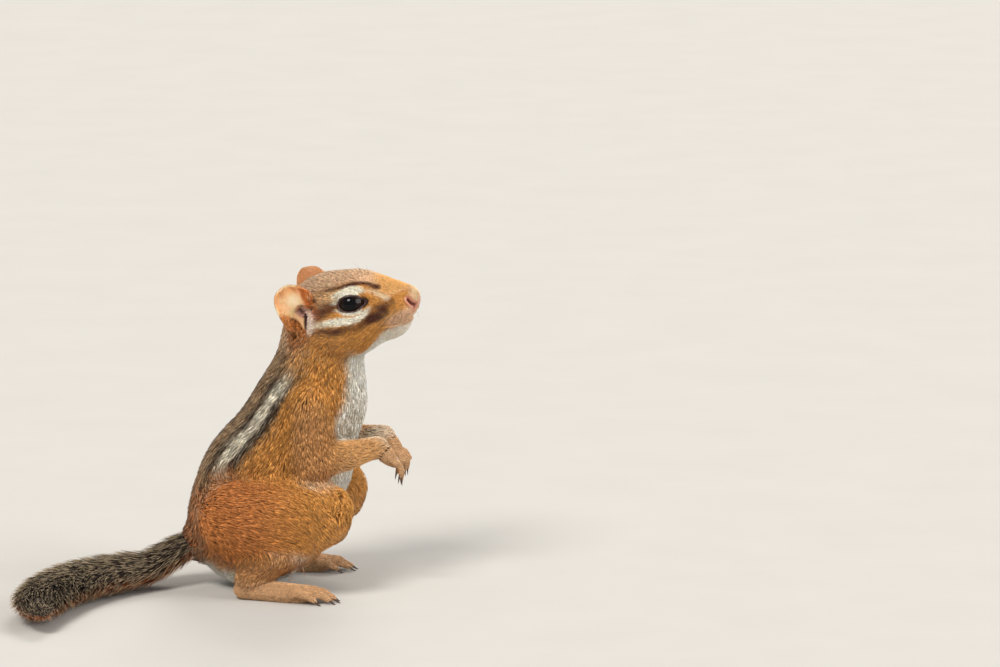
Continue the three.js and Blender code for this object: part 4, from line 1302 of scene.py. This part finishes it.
# %% Write tufts as one mesh
def tuft_mesh(name, spine, sides, widths, tints, map_places):
    """spine is tufts x points x 3, sides the flat way of each tuft. Both ends are points."""
    all_points = tuft_points(spine, sides, widths)
    faces, places = tuft_faces(spine.shape[1])
    count, per_tuft, _ = all_points.shape
    all_faces = (faces[None] + (np.arange(count) * per_tuft)[:, None, None]).reshape(-1, 3)
    mesh = bpy.data.meshes.new(name)
    mesh.vertices.add(count * per_tuft)
    mesh.loops.add(len(all_faces) * 3)
    mesh.polygons.add(len(all_faces))
    mesh.vertices.foreach_set("co", (all_points * MM).astype(np.float32).ravel())
    mesh.polygons.foreach_set("loop_start", np.arange(len(all_faces), dtype=np.int32) * 3)
    mesh.loops.foreach_set("vertex_index", all_faces.astype(np.int32).ravel())
    mesh.polygons.foreach_set("use_smooth", np.ones(len(all_faces), bool))
    mesh.update(calc_edges=True)
    layer = mesh.uv_layers.new(name=BAKE_MAP)
    layer.data.foreach_set("uv", (map_places[:, None, :] + places[None]).astype(np.float32).ravel())
    ring_tints = np.repeat(tints[:, 1:-1], 3, axis=1)
    set_colours(mesh, np.concatenate([tints[:, :1], ring_tints, tints[:, -1:]], 1).reshape(-1, 3))
    print(name, count, "tufts,", len(all_faces), "triangles")
    return link(bpy.data.objects.new(name, mesh))


# %% [markdown]
# ## The short coat
#
# The coat is split in pieces of one region each. Every tuft draws its own length, lean and shade.
# Dark and pale tips are scattered through the grey parts, which is what makes them look grizzled.
# It is thin and short on the face, the paws and the ears, and missing on nose, eyes and soles.

# %% Where the coat is bare
along_front_rim = bare_ear * brown_band
on_eyeball = smoothstep(1.3, 1.22, outside) * (out_lid > 0)
on_floor = smoothstep(0.2, 0.0, points[:, 2])
bald = np.clip(bare_nose + on_eyeball + on_tail + on_floor, 0, 1)
print("bare", int(bald.sum()), "points")

# %% Length, width, height and density of the hair at every point
MORE_WHERE_PARTED = 1.0
SHORTER_WHERE_PARTED = 0.3
SHORTER_ON_FACE = 0.55
LONGER_ON_CHEEK = 0.8
CROWN_STANDS = 0.5  # the hair of the crown stands out a little
LEAST_HEIGHT = 0.2
CUP_IS_BARE = 0.93

face_short = snout + (1 - snout) * eye_near
hair_length = blended("length") * (1 - SHORTER_ON_FACE * face_short) + LONGER_ON_CHEEK * cheek
hair_length = hair_length * (1 - on_ear) + (0.7 + 0.9 * brown_band + 0.6 * lobe_fur) * on_ear
hair_length = hair_length * (1 - 0.5 * nose_tip) * (1 - 0.6 * smoothstep(3.2, 1.4, slit))
hair_length = hair_length * (1 - SHORTER_WHERE_PARTED * parted)
hair_width = blended("width") * (1 - 0.2 * face_short * on_head) * (1 - 0.45 * on_ear)
hair_width = hair_width * (1 - 0.3 * bare_ear * (1 - along_front_rim))
on_crown = smoothstep(4.5, 6.5, level[:, 2]) * smoothstep(12, 6, level[:, 0]) * on_head
hair_height = coat_depth.clip(LEAST_HEIGHT, None) * (1 - 0.5 * on_ear) * (1 + CROWN_STANDS * on_crown)
in_cup = bare_ear * inside_cup
hair_density = blended("density") * (1 - bald) * (1 - CUP_IS_BARE * in_cup * (1 - along_front_rim))
hair_density = hair_density * (1 - smoothstep(1.0, 0.6, nostril)) * smoothstep(1.2, 1.7, hollow)
hair_density = hair_density * (1 + MORE_WHERE_PARTED * parted)
hair_density = hair_density * (1 - smoothstep(0.2, 0.6, ear_mouth)) * (1 + 0.5 * snout)
print("hairs wanted", int((triangle_areas * hair_density[triangles].mean(1)).sum()))

# %% Shade at the root, and where the tips are grizzled
ROOT_SHADE = 0.72  # a hair is darker at its root, except pale hair and the down of the ears

root_shade = 1 - (1 - ROOT_SHADE) * (1 - bare_ear) * (1 - 0.7 * smoothstep(0.4, 0.8, coat.mean(1)))
on_back = band(back_coordinates(body_points)[0], 16, 5)
grizzle = np.clip(smoothstep(5.2, 6.5, level[:, 2]) * on_head + (1 - on_head) * on_back, 0, 1)
grizzle = np.maximum(grizzle, 0.55 * parts["neck"] * (1 - on_head))
over_temple = smoothstep(0.5, 2.5, level[:, 2]) * smoothstep(0, -3, level[:, 0])
grizzle = np.maximum(grizzle, 0.5 * over_temple * on_head)
dark_line = band(line_distance(on_left(level), UPPER_DARK), 1.0, 0.4)
grizzle = grizzle * (1 - dark_line) * (1 - bare_ear)
print("grizzled", int(grizzle.sum()), "points")

# %% Lay the hairs of one region
LENGTH_SPREAD = 0.25
SIDE_SPREAD = 0.2
LOCK_SIZE, LOCK_SEED = 5.5, 23  # millimetres from lock to lock
LOCK_SWAY = 0.9
FLOOR_GAP = 0.1
ROOT_SUNK = 0.1


def lay_hairs(chosen, shares, draw):
    """Root, waist and tip of each hair, its flat side, and the skin points below waist and tip."""
    root, normal = at_triangles(points, chosen, shares), unit(at_triangles(normals, chosen, shares))
    way = laid_flat(at_triangles(lie, chosen, shares), normal)
    side = np.cross(way, normal)
    sway = draw.normal(0, SIDE_SPREAD, len(root)) + LOCK_SWAY * ripple(root, LOCK_SIZE, LOCK_SEED)
    way = unit(way + side * sway[:, None])
    varied = (1 + draw.normal(0, LENGTH_SPREAD, len(root))).clip(0.45, 1.6)
    length = value_at(hair_length, chosen, shares) * varied
    height = value_at(hair_height, chosen, shares) * draw.uniform(0.6, 1.15, len(root))
    half = way * (length * 0.5)[:, None]
    waist, below = rest_on_skin(root + half + normal * (0.7 * height)[:, None], 0.72 * height)
    onward = laid_flat(0.5 * lie[below] + 0.5 * way, normals[below])
    tip, below_tip = rest_on_skin(waist + onward * (length * 0.5)[:, None], height)
    spine = np.stack([root - normal * ROOT_SUNK, waist, tip], 1)
    spine[:, :, 2] = np.maximum(spine[:, :, 2], FLOOR_GAP)
    return spine, side, below, below_tip


# %% Colour the hairs of one region
SHADE_SPREAD = 0.17
TIP_LIGHT = 1.15
TIP_PALE = colour(250, 226, 190)
TIP_DARK = colour(46, 32, 24)
PALE_TIPS, DARK_TIPS = 0.42, 0.3  # shares of the hairs where the coat is grizzled
DIM_TIPS = (0.4, 0.46)  # and these, everywhere, are a little darker


def colour_hairs(chosen, shares, below, below_tip, draw):
    """Tints of root, waist and tip, each from the skin below it."""
    own_shade = np.exp(draw.normal(0, SHADE_SPREAD, len(chosen)))[:, None]
    root_tint = at_triangles(coat, chosen, shares) * own_shade
    tint = 0.35 * root_tint + 0.65 * coat[below] * own_shade
    tip_tint = TIP_LIGHT * (0.5 * tint + 0.5 * coat[below_tip] * own_shade)
    ticked = value_at(grizzle, chosen, shares)
    lot = draw.random(len(chosen))
    pale, dark = (lot < PALE_TIPS * ticked)[:, None], (lot > 1 - DARK_TIPS * ticked)[:, None]
    dim = ((lot > DIM_TIPS[0]) & (lot < DIM_TIPS[1]))[:, None]
    tip_tint = np.where(pale, 0.3 * tint + 0.7 * TIP_PALE, tip_tint)
    tip_tint = np.where(dark, 0.25 * tint + 0.75 * TIP_DARK, tip_tint)
    tint = np.where(dark, 0.6 * tint + 0.4 * TIP_DARK, tint)
    tip_tint = np.where(dim, 0.65 * tint, tip_tint)
    return np.stack([root_tint * value_at(root_shade, chosen, shares)[:, None], tint, tip_tint], 1)


def grow(name, region, seed):
    chosen, shares, draw = sow(hair_density * region, seed)
    spine, side, below, below_tip = lay_hairs(chosen, shares, draw)
    widths = (value_at(hair_width, chosen, shares) * draw.uniform(0.75, 1.25, len(chosen)))[:, None]
    tints = colour_hairs(chosen, shares, below, below_tip, draw)
    map_places = (corner_places[chosen] * shares[:, :, None]).sum(1)
    return tuft_mesh(name, spine, side, widths, tints, map_places)


# %% Grow the coat, one region after another
UPPER_FROM = 42  # height that parts breast and flank
FIRST_SEED = 100

on_face = smoothstep(-6.5, -6, level[:, 0]) * on_head
on_nape = (1 - on_face) * on_head
paw_region = smoothstep(0.4, 0.6, parts["forepaw"] + parts["hindfoot"]) * (1 - on_head)
leg_region = smoothstep(0.4, 0.6, on_limb) * (1 - paw_region) * (1 - on_head)
body_region = (1 - on_head) * (1 - paw_region) * (1 - leg_region)
upper = smoothstep(UPPER_FROM - 0.1, UPPER_FROM + 0.1, body_points[:, 2])
regions = {
    "coat_face": (on_face, "head_coat"),
    "coat_nape": (on_nape, "head_coat"),
    "coat_breast": (body_region * upper, "body_coat"),
    "coat_flank": (body_region * (1 - upper), "body_coat"),
    "coat_legs": (leg_region, "limb_coat"),
    "coat_paws": (paw_region, "limb_coat"),
}
left_half = np.where(on_head > 0.5, level[:, 1] > 0, body_points[:, 1] > 0).astype(float)
coat_pieces = []
for side_name, half in (("left", left_half), ("right", 1 - left_half)):
    for name, (region, slot) in regions.items():
        piece = grow(f"{name}_{side_name}", region * half, FIRST_SEED + len(coat_pieces))
        coat_pieces.append(piece)
print("coat", sum(len(piece.data.polygons) for piece in coat_pieces), "triangles in all")

# %% [markdown]
# ## The brush of the tail
#
# The tail's hairs are four times as long as the body's. Each starts on the core, leaves it at a
# slant and lies down along the outside of the brush. A hair is rufous at its root, then black,
# and ends pale, which gives the frosted fringe. The underside stays rufous.

# %% Lay the hairs of the tail
TAIL_HAIRS = 15500
TAIL_HAIR = 17
TAIL_HAIR_WIDTH = 0.34
TAIL_HAIR_RISE = 0.75  # below 1 the hair leaves the core steeply and then lies down
TAIL_STOPS = (0, 0.3, 0.65, 1)
TAIL_OVERHANG = 1.03
TAIL_LAG = 0.3  # a hair's tip stands as far out as the brush does this much nearer its root
ROOT_REACH = 0.2  # the hair starts in the core
TAIL_SEED = 7


def lay_tail_hairs(start, angle, draw):
    """Four points along each hair, its flat side, and how far out in the brush it ends."""
    count = len(start)
    length = TAIL_HAIR * draw.uniform(0.62, 1.08, count) * (0.55 + 0.45 * smoothstep(0, 0.2, start))
    reach = draw.uniform(0.35, 1.08, count) ** 0.7
    reach = reach * (1 - 0.95 * smoothstep(0.66, 0.85, start) * draw.random(count))
    ends = draw.uniform(0.95, TAIL_OVERHANG, count)
    drift = draw.normal(0, 0.2, count)
    spine = np.empty((count, len(TAIL_STOPS), 3))
    for k, s in enumerate(TAIL_STOPS):
        share = np.clip(start + s * length / TAIL_LENGTH, 0, ends)
        place, ahead, across, above = tail_frame(share)
        over = np.maximum(share - 1, 0)[:, None] * TAIL_LENGTH
        full = brush(np.minimum(share - TAIL_LAG * s * length / TAIL_LENGTH, 1))
        out = (ROOT_REACH + (reach - ROOT_REACH) * s**TAIL_HAIR_RISE) * full
        sideways = np.cos(angle + drift * s) * TAIL_HALF_WIDTH * out
        upwards = np.sin(angle + drift * s) * TAIL_HALF_HEIGHT * out
        spine[:, k] = place + ahead * over + across * sideways[:, None] + above * upwards[:, None]
    spine[:, :, 2] = np.maximum(spine[:, :, 2], FLOOR_GAP)
    middle_line = tail_frame(np.clip(start + 0.5 * length / TAIL_LENGTH, 0, 1))[0]
    flat_side = np.cross(spine[:, 2] - spine[:, 1], spine[:, 2] - middle_line)
    return spine, flat_side, reach


# %% Colour the hairs of the tail
TAIL_PALE = colour(226, 202, 164)
TAIL_BLACK = colour(40, 30, 24)
TAIL_RUFOUS = colour(176, 96, 46)
TAIL_SHADE_SPREAD = 0.18


def colour_tail_hairs(angle, reach, draw):
    """Rufous at the root, black in the middle and pale at the tip, with more rufous below."""
    count = len(angle)
    below = smoothstep(0.1, -0.6, np.sin(angle))
    own_shade = np.exp(draw.normal(0, TAIL_SHADE_SPREAD, count))[:, None]
    black = all_over(TAIL_BLACK, count)
    root = TAIL_RUFOUS * 0.7 * own_shade
    second = paint(black, TAIL_RUFOUS, 0.25 + 0.6 * below) * own_shade
    third = paint(black, TAIL_RUFOUS, 0.75 * below * (draw.random(count) < 0.8)) * own_shade
    frosted = (0.35 + 0.55 * smoothstep(0.7, 0.95, reach)) * (draw.random(count) < 0.75)
    return np.stack([root, second, third, paint(third, TAIL_PALE, frosted)], 1)


draw = np.random.default_rng(TAIL_SEED)
start = draw.uniform(-0.02, 0.95, TAIL_HAIRS)
angle = draw.uniform(0, 2 * math.pi, TAIL_HAIRS)
spine, flat_side, reach = lay_tail_hairs(start, angle, draw)
width = TAIL_HAIR_WIDTH * draw.uniform(0.7, 1.2, TAIL_HAIRS)
tints = colour_tail_hairs(angle, reach, draw)
map_places = np.column_stack([0.02 + 0.96 * angle / (2 * math.pi), 0.02 + 0.96 * np.clip(start, 0, 1)])
tail_coat = tuft_mesh("coat_tail", spine, flat_side, np.stack([width, 0.8 * width], 1), tints, map_places)
coat_pieces.append(tail_coat)

# %% [markdown]
# ## Eyes and lids
#
# An eye is a ball in the socket that the solids give, with a clear bulge in front. It starts as a
# sphere whose front is raised. The lid is a soft dark ring on the ball, drawn out to a point at
# the front corner. It is a ring of its own and not cut into the skin, so that its edge stays sharp.

# %% Eyeballs
CORNEA_BULGE = 0.22
CORNEA_FROM = 0.72
EYE_SHAPE = (1.05, 0.96, 1.0)  # a little longer than high


def eye_axes(side):
    outward = unit(np.array(EYE_LOOKS) * [1, side, 1])
    along = unit(np.array([1, 0, 0.0]) - outward * outward[0])
    return np.array([along, np.cross(outward, along) * (-side), outward])


def eye_centre(side):
    return np.array(EYE_CENTRE) * [1, side, 1]


eyes = []
for side_name, side in SIDES.items():
    bpy.ops.mesh.primitive_uv_sphere_add(segments=72, ring_count=48, radius=EYE_RADIUS)
    eye = bpy.context.object
    eye.name = "eyeball_" + side_name
    ball = points_of(eye.data)
    bulge = CORNEA_BULGE * smoothstep(CORNEA_FROM, 1, ball[:, 2] / EYE_RADIUS)
    ball = ball * (1 + bulge / EYE_RADIUS)[:, None] * EYE_SHAPE
    set_points(eye.data, from_head(eye_centre(side) + ball @ eye_axes(side)) * MM)
    in_edit_mode(eye, face_outwards)
    bpy.ops.object.shade_smooth()
    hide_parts("eye_" + side_name)
    eyes.append(eye)
print("eyes", [tuple(round(v, 4) for v in eye.dimensions) for eye in eyes])

# %% Lids
LID_SWELL = 0.24  # how far the lid rises over the line from eyeball to face
LID_ROOT = 0.6
LID_OFF_BALL, LID_OFF_FACE = 0.05, 0.12
LOOK_FROM = 12


def lid_point(side):
    centre, axes = eye_centre(side), eye_axes(side)

    def face_height(forward, up):
        """Height of the face's skin above the middle of the eye, looked up along the eye's axis."""
        look = Vector(-axes[2] @ TURN.T)
        heights = []
        for a, b in zip(forward, up):
            hit = over_skin.ray_cast(Vector(from_head(centre + np.array([a, b, LOOK_FROM]) @ axes)), look)
            heights.append(LOOK_FROM - hit[3] if hit[0] else 0)
        return np.array(heights)

    def place(u, v):
        turn = 2 * math.pi * u
        flat = np.column_stack([OPENING[0] * np.cos(turn), OPENING[1] * np.sin(turn)])
        flat = flat * corner_stretch((turn + math.pi) % (2 * math.pi) - math.pi)[:, None]
        flat = flat @ np.array(Matrix.Rotation(-OPENING_TILT, 2))
        inner = np.sqrt(np.maximum(EYE_RADIUS**2 - (flat**2).sum(1), 1.5)) + LID_OFF_BALL
        outer = face_height(*(flat * LID_EDGE).T) + LID_OFF_FACE
        across_lid = 0.5 - 0.5 * np.cos(2 * math.pi * v)
        swell = np.sin(2 * math.pi * v) * np.where(v < 0.5, LID_SWELL, LID_ROOT)
        reach = flat * (1 + (LID_EDGE - 1) * across_lid)[:, None]
        height = inner + (outer - inner) * across_lid + swell
        return from_head(centre + np.column_stack([reach, height]) @ axes)

    return place


lids = []
for side_name, side in SIDES.items():
    lid = shaped_grid("lid_" + side_name, 96, 14, lid_point(side), around=True)
    select_only(lid)
    bpy.ops.object.shade_smooth()
    lids.append(lid)
print("lids", [len(lid.data.polygons) for lid in lids], "faces")

# %% [markdown]
# ## Claws and whiskers
#
# A claw is a small curved horn at the end of each toe. Whiskers stand in rows on the muzzle,
# with a few over the eye. Both are tapered tubes along a line of points. A curve with a bevel
# would do for one, but a loop over many lines makes them all in one mesh.


# %% A tapered tube along points
def tube_rings(lines, radii, sides):
    """Points round each line, laid out as tubes x stops x sides x 3."""
    ahead = unit(np.gradient(lines, axis=1))
    helper = np.where(np.abs(ahead[:, :1, 2:]) > 0.9, [[[1.0, 0, 0]]], [[[0, 0, 1.0]]])
    across = unit(np.cross(ahead, helper))
    above = np.cross(across, ahead)
    turn = (2 * math.pi * np.arange(sides) / sides)[None, None, :, None]
    ways = across[:, :, None] * np.cos(turn) + above[:, :, None] * np.sin(turn)
    return lines[:, :, None] + ways * radii[:, :, None, None]


def tapered_tubes(name, lines, radii, sides):
    """lines is tubes x points x 3 and radii tubes x points. Both ends are closed."""
    count, stops, _ = lines.shape
    faces = []
    for tube in range(count):
        base = tube * stops * sides
        for k in range(stops - 1):
            for j in range(sides):
                a, b = base + k * sides + j, base + k * sides + (j + 1) % sides
                faces.append((a, a + sides, b + sides, b))
        faces.append(tuple(base + j for j in range(sides)))
        faces.append(tuple(base + (stops - 1) * sides + j for j in reversed(range(sides))))
    mesh = bpy.data.meshes.new(name)
    mesh.from_pydata([tuple(v) for v in tube_rings(lines, radii, sides).reshape(-1, 3) * MM], [], faces)
    piece = link(bpy.data.objects.new(name, mesh))
    in_edit_mode(piece, face_outwards)
    bpy.ops.object.shade_smooth()
    return piece


# %% Claws at the ends of the toes
CLAW_STEPS = 7
CLAW_TAPER = (0.7, 0.95, 1, 0.86, 0.66, 0.4, 0.08)
CLAW_ROOT = 0.4  # share of its length that sits in the toe
CLAW_BEND = 0.38
CLAW_THICKNESS = 0.37  # of the toe's radius
CLAW_BACK, CLAW_RAISE = 0.45, 0.12  # of the toe's radius, from its tip
CLAW_SIDES = 10

claw_lines, claw_radii = [], []
for tip, ahead, radius, length in DIGITS:
    s = np.linspace(-CLAW_ROOT, 1, CLAW_STEPS)[:, None]
    line = tip - CLAW_BACK * radius * ahead + ahead * length * s
    line[:, 2] += CLAW_RAISE * radius - (CLAW_BEND * length * np.clip(s, 0, 1) ** 2)[:, 0]
    claw_lines.append(line + BODY_AT)
    claw_radii.append(CLAW_THICKNESS * radius * np.array(CLAW_TAPER))
claw_lines, claw_radii = np.array(claw_lines), np.array(claw_radii)
claw_lines[:, :, 2] = np.maximum(claw_lines[:, :, 2], claw_radii + FLOOR_GAP)
claws = tapered_tubes("claws", claw_lines, claw_radii, CLAW_SIDES)
print("claws", len(claw_lines))

# %% Whiskers
WHISKER_STEPS = 12
WHISKER_ROWS, WHISKERS_A_ROW = 4, 4
WHISKER_RADIUS = 0.06
WHISKER_SIDES = 5
WHISKER_SEED = 5
BROW_WHISKERS = 2
whisker_share = np.linspace(0, 1, WHISKER_STEPS)


def whisker(root, way, length, bend):
    """A line that leaves the root one way and bends more and more towards its tip."""
    return root + np.outer(whisker_share * length, unit(way)) + np.outer(whisker_share**2, bend) * length


draw = np.random.default_rng(WHISKER_SEED)
whisker_lines, whisker_radii = [], []
for side in SIDES.values():
    for row in range(WHISKER_ROWS):
        for k in range(WHISKERS_A_ROW):
            root = np.array([14.6 - 1.5 * k - 0.3 * row, 4.0 + 0.45 * k, -3.6 - 0.95 * row])
            way = np.array([0.05 - 0.28 * k + 0.05 * row, 0.92, 0.26 - 0.2 * row + draw.normal(0, 0.05)])
            length = (8 + 3.4 * k) * draw.uniform(0.85, 1.1)
            whisker_lines.append(from_head(whisker(root, way, length, (-0.28, 0, -0.2)) * [1, side, 1]))
            whisker_radii.append(WHISKER_RADIUS * (1 - 0.85 * whisker_share))
    for k in range(BROW_WHISKERS):
        root, way = np.array([4.6 - 1.2 * k, 6.4, 5.0]), np.array([0.1 - 0.4 * k, 0.55, 0.8])
        whisker_lines.append(from_head(whisker(root, way, 5 + 2 * k, (-0.3, 0, 0)) * [1, side, 1]))
        whisker_radii.append(WHISKER_RADIUS * 0.8 * (1 - 0.85 * whisker_share))
for line in whisker_lines:
    line += np.array(over_skin.find_nearest(Vector(line[0]))[0]) - line[0]
whiskers = tapered_tubes("whiskers", np.array(whisker_lines), np.array(whisker_radii), WHISKER_SIDES)
print("whiskers", len(whisker_lines))

# %% [markdown]
# ## Finishes
#
# Coat and skin read the painted colours. Fine noise on Object coordinates breaks them up, and
# each finish has its own roughness and bump: dry hair, moist nose, thin glowing ear, wet eye.
# A shader made for hair expects hair curves, so the tufts take the plain one with a soft sheen.


# %% Helpers for materials
def new_material(name):
    material = bpy.data.materials.new(name)
    material.use_nodes = True
    tree = material.node_tree
    return material, tree, tree.nodes["Principled BSDF"]


def noise_node(tree, scale, detail, roughness=0.5):
    places = tree.nodes.new("ShaderNodeTexCoord")
    noise = tree.nodes.new("ShaderNodeTexNoise")
    noise.inputs["Scale"].default_value = scale
    noise.inputs["Detail"].default_value = detail
    noise.inputs["Roughness"].default_value = roughness
    tree.links.new(places.outputs["Object"], noise.inputs["Vector"])
    return noise.outputs["Fac"]


def spread_node(tree, source, low, high):
    span = tree.nodes.new("ShaderNodeMapRange")
    span.inputs["To Min"].default_value = low
    span.inputs["To Max"].default_value = high
    tree.links.new(source, span.inputs["Value"])
    return span.outputs["Result"]


def mix_node(tree, share, first, second):
    mix = tree.nodes.new("ShaderNodeMix")
    mix.data_type = "RGBA"
    mix.inputs[6].default_value = (*first, 1)
    mix.inputs[7].default_value = (*second, 1)
    tree.links.new(share, mix.inputs[0])
    return mix.outputs[2]


def painted(tree, shader, scale, low, high):
    """Base colour from the painted layer, times a fine noise between low and high."""
    layer = tree.nodes.new("ShaderNodeAttribute")
    layer.attribute_name = COLOUR_LAYER
    product = tree.nodes.new("ShaderNodeVectorMath")
    product.operation = "SCALE"
    tree.links.new(layer.outputs["Color"], product.inputs[0])
    tree.links.new(spread_node(tree, noise_node(tree, scale, 4), low, high), product.inputs["Scale"])
    tree.links.new(product.outputs["Vector"], shader.inputs["Base Color"])


def bump(tree, shader, source, height, strength):
    node = tree.nodes.new("ShaderNodeBump")
    node.inputs["Distance"].default_value = height
    node.inputs["Strength"].default_value = strength
    tree.links.new(source, node.inputs["Height"])
    tree.links.new(node.outputs["Normal"], shader.inputs["Normal"])


# %% Finishes of coat, skin, ears and nose
def hair_finish(name, roughness, sheen):
    material, tree, shader = new_material(name)
    painted(tree, shader, 900, 0.72, 1.25)
    rough = spread_node(tree, noise_node(tree, 600, 2), roughness - 0.1, roughness + 0.1)
    tree.links.new(rough, shader.inputs["Roughness"])
    shader.inputs["Specular IOR Level"].default_value = 0.28
    shader.inputs["Sheen Weight"].default_value = sheen
    shader.inputs["Sheen Roughness"].default_value = 0.4
    return material


def skin_finish(name, roughness, glow, bump_scale, bump_height):
    material, tree, shader = new_material(name)
    painted(tree, shader, 1200, 0.85, 1.12)
    fine = noise_node(tree, bump_scale, 6, 0.65)
    bump(tree, shader, fine, bump_height, 0.8)
    tree.links.new(spread_node(tree, fine, roughness + 0.08, roughness - 0.08), shader.inputs["Roughness"])
    shader.inputs["Subsurface Weight"].default_value = glow
    shader.inputs["Subsurface Scale"].default_value = 0.002
    shader.inputs["Subsurface Radius"].default_value = (1, 0.35, 0.2)
    return material


short_hair = hair_finish("short_hair", roughness=0.5, sheen=0.08)
tail_hair = hair_finish("tail_hair", roughness=0.45, sheen=0.12)
haired_skin = skin_finish("haired_skin", roughness=0.75, glow=0.0, bump_scale=1500, bump_height=0.0002)
ear_skin = skin_finish("ear_skin", roughness=0.5, glow=0.55, bump_scale=1800, bump_height=0.00008)
nose_skin = skin_finish("nose_skin", roughness=0.35, glow=0.25, bump_scale=2600, bump_height=0.00012)

# %% Give skin and coat their finishes
skin.data.materials.clear()
for material in (haired_skin, ear_skin, nose_skin):
    skin.data.materials.append(material)
loop_points = read_all(skin.data.loops, "vertex_index", kind=np.int32)
first_point = loop_points[read_all(skin.data.polygons, "loop_start", kind=np.int32)]
finish = np.where(bare_ear[first_point] > 0.5, 1, np.where(bare_nose[first_point] > 0.4, 2, 0))
skin.data.polygons.foreach_set("material_index", finish.astype(np.int32))
skin.data.polygons.foreach_set("use_smooth", np.ones(len(finish), bool))
for piece in coat_pieces:
    piece.data.materials.append(tail_hair if piece is tail_coat else short_hair)
print("faces of ear and nose", int((finish == 1).sum()), int((finish == 2).sum()))

# %% Finish of the eyes
EYE_BROWN = colour(26, 15, 10)
EYE_BLACK = colour(5, 5, 7)
PUPIL_EDGE = (1.6, 2.6)  # millimetres from the middle of the eye's front


def eye_finish(side_name):
    """A black pupil that fades to a very dark brown iris, under a wet surface."""
    material, tree, shader = new_material("wet_eye_" + side_name)
    side = SIDES[side_name]
    front = from_head(eye_centre(side) + eye_axes(side)[2] * EYE_RADIUS) * MM
    places = tree.nodes.new("ShaderNodeTexCoord")
    distance = tree.nodes.new("ShaderNodeVectorMath")
    distance.operation = "DISTANCE"
    distance.inputs[1].default_value = tuple(front)
    tree.links.new(places.outputs["Object"], distance.inputs[0])
    share = tree.nodes.new("ShaderNodeMapRange")
    share.inputs["From Min"].default_value = PUPIL_EDGE[0] * MM
    share.inputs["From Max"].default_value = PUPIL_EDGE[1] * MM
    tree.links.new(distance.outputs["Value"], share.inputs["Value"])
    tint = mix_node(tree, share.outputs["Result"], EYE_BLACK, EYE_BROWN)
    tree.links.new(tint, shader.inputs["Base Color"])
    shader.inputs["Roughness"].default_value = 0.04
    shader.inputs["Specular IOR Level"].default_value = 0.17
    return material


for eye, side_name in zip(eyes, SIDES):
    eye.data.materials.append(eye_finish(side_name))


# %% Finishes of lids, claws and whiskers
def plain_finish(name, tint, roughness, low, high, scale):
    """One colour between a darker and a lighter shade, with a faint bump."""
    material, tree, shader = new_material(name)
    noise = noise_node(tree, scale, 4)
    tree.links.new(mix_node(tree, noise, tint * low, tint * high), shader.inputs["Base Color"])
    tree.links.new(spread_node(tree, noise, roughness - 0.06, roughness + 0.06), shader.inputs["Roughness"])
    bump(tree, shader, noise, 0.00004, 0.5)
    return material


lid_skin = plain_finish("lid_skin", colour(50, 28, 24), 0.35, 0.7, 1.3, 2500)
claw_horn = plain_finish("claw_horn", colour(70, 52, 42), 0.3, 0.7, 1.4, 1500)
whisker_horn = plain_finish("whisker_horn", colour(54, 42, 36), 0.4, 0.8, 1.3, 900)
for lid in lids:
    lid.data.materials.append(lid_skin)
claws.data.materials.append(claw_horn)
whiskers.data.materials.append(whisker_horn)

# %% [markdown]
# ## Floor and light
#
# A wide pale floor keeps the animal's own colours in view. A large soft disc of light from above
# and the left gives the round highlight in the eye, one from behind makes the ears glow, and a
# weaker one from the right opens the shadows. Area lights would do, but their distance changes
# their strength. Colours are shown as they are, with no film curve.

# %% Floor
FLOOR_DARK, FLOOR_LIGHT = (0.5, 0.49, 0.47), (0.54, 0.53, 0.51)

bpy.ops.mesh.primitive_plane_add(size=60, location=(0, 0, 0))
floor = bpy.context.object
floor.name = "floor"
floor_paint, floor_tree, floor_shader = new_material("pale_floor")
floor_tint = mix_node(floor_tree, noise_node(floor_tree, 30, 3), FLOOR_DARK, FLOOR_LIGHT)
floor_tree.links.new(floor_tint, floor_shader.inputs["Base Color"])
floor_shader.inputs["Roughness"].default_value = 0.8
floor.data.materials.append(floor_paint)


# %% Lights
def soft_sun(name, azimuth_degrees, height_degrees, softness, power, tint):
    """A far disc of light, seen from the animal at these angles. 0 is the camera's own side."""
    bpy.ops.object.light_add(type="SUN")
    light = bpy.context.object
    light.name = name
    light.data.energy = power
    light.data.angle = math.radians(softness)
    light.data.color = tint
    way = towards(CAMERA_AZIMUTH + azimuth_degrees, height_degrees)
    light.rotation_euler = way.to_track_quat("Z", "Y").to_euler()


soft_sun("key", -28, 48, 22, 2.6, (1, 0.95, 0.88))
soft_sun("back", 165, 42, 25, 1.1, (1, 0.93, 0.84))
soft_sun("fill", 75, 25, 40, 1.7, (1, 0.98, 0.95))
world = bpy.data.worlds.new("studio")
bpy.context.scene.world = world
world.use_nodes = True
world.node_tree.nodes["Background"].inputs["Color"].default_value = (1, 0.985, 0.96, 1)
world.node_tree.nodes["Background"].inputs["Strength"].default_value = 0.47
bpy.context.scene.view_settings.view_transform = "Standard"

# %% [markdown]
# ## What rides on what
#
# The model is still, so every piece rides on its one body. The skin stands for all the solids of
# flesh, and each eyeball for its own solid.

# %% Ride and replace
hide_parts(*[name for name in nodes if not name.startswith("eye_")])
for piece in (skin, *eyes, *lids, claws, whiskers, *coat_pieces):
    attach(piece, "root")
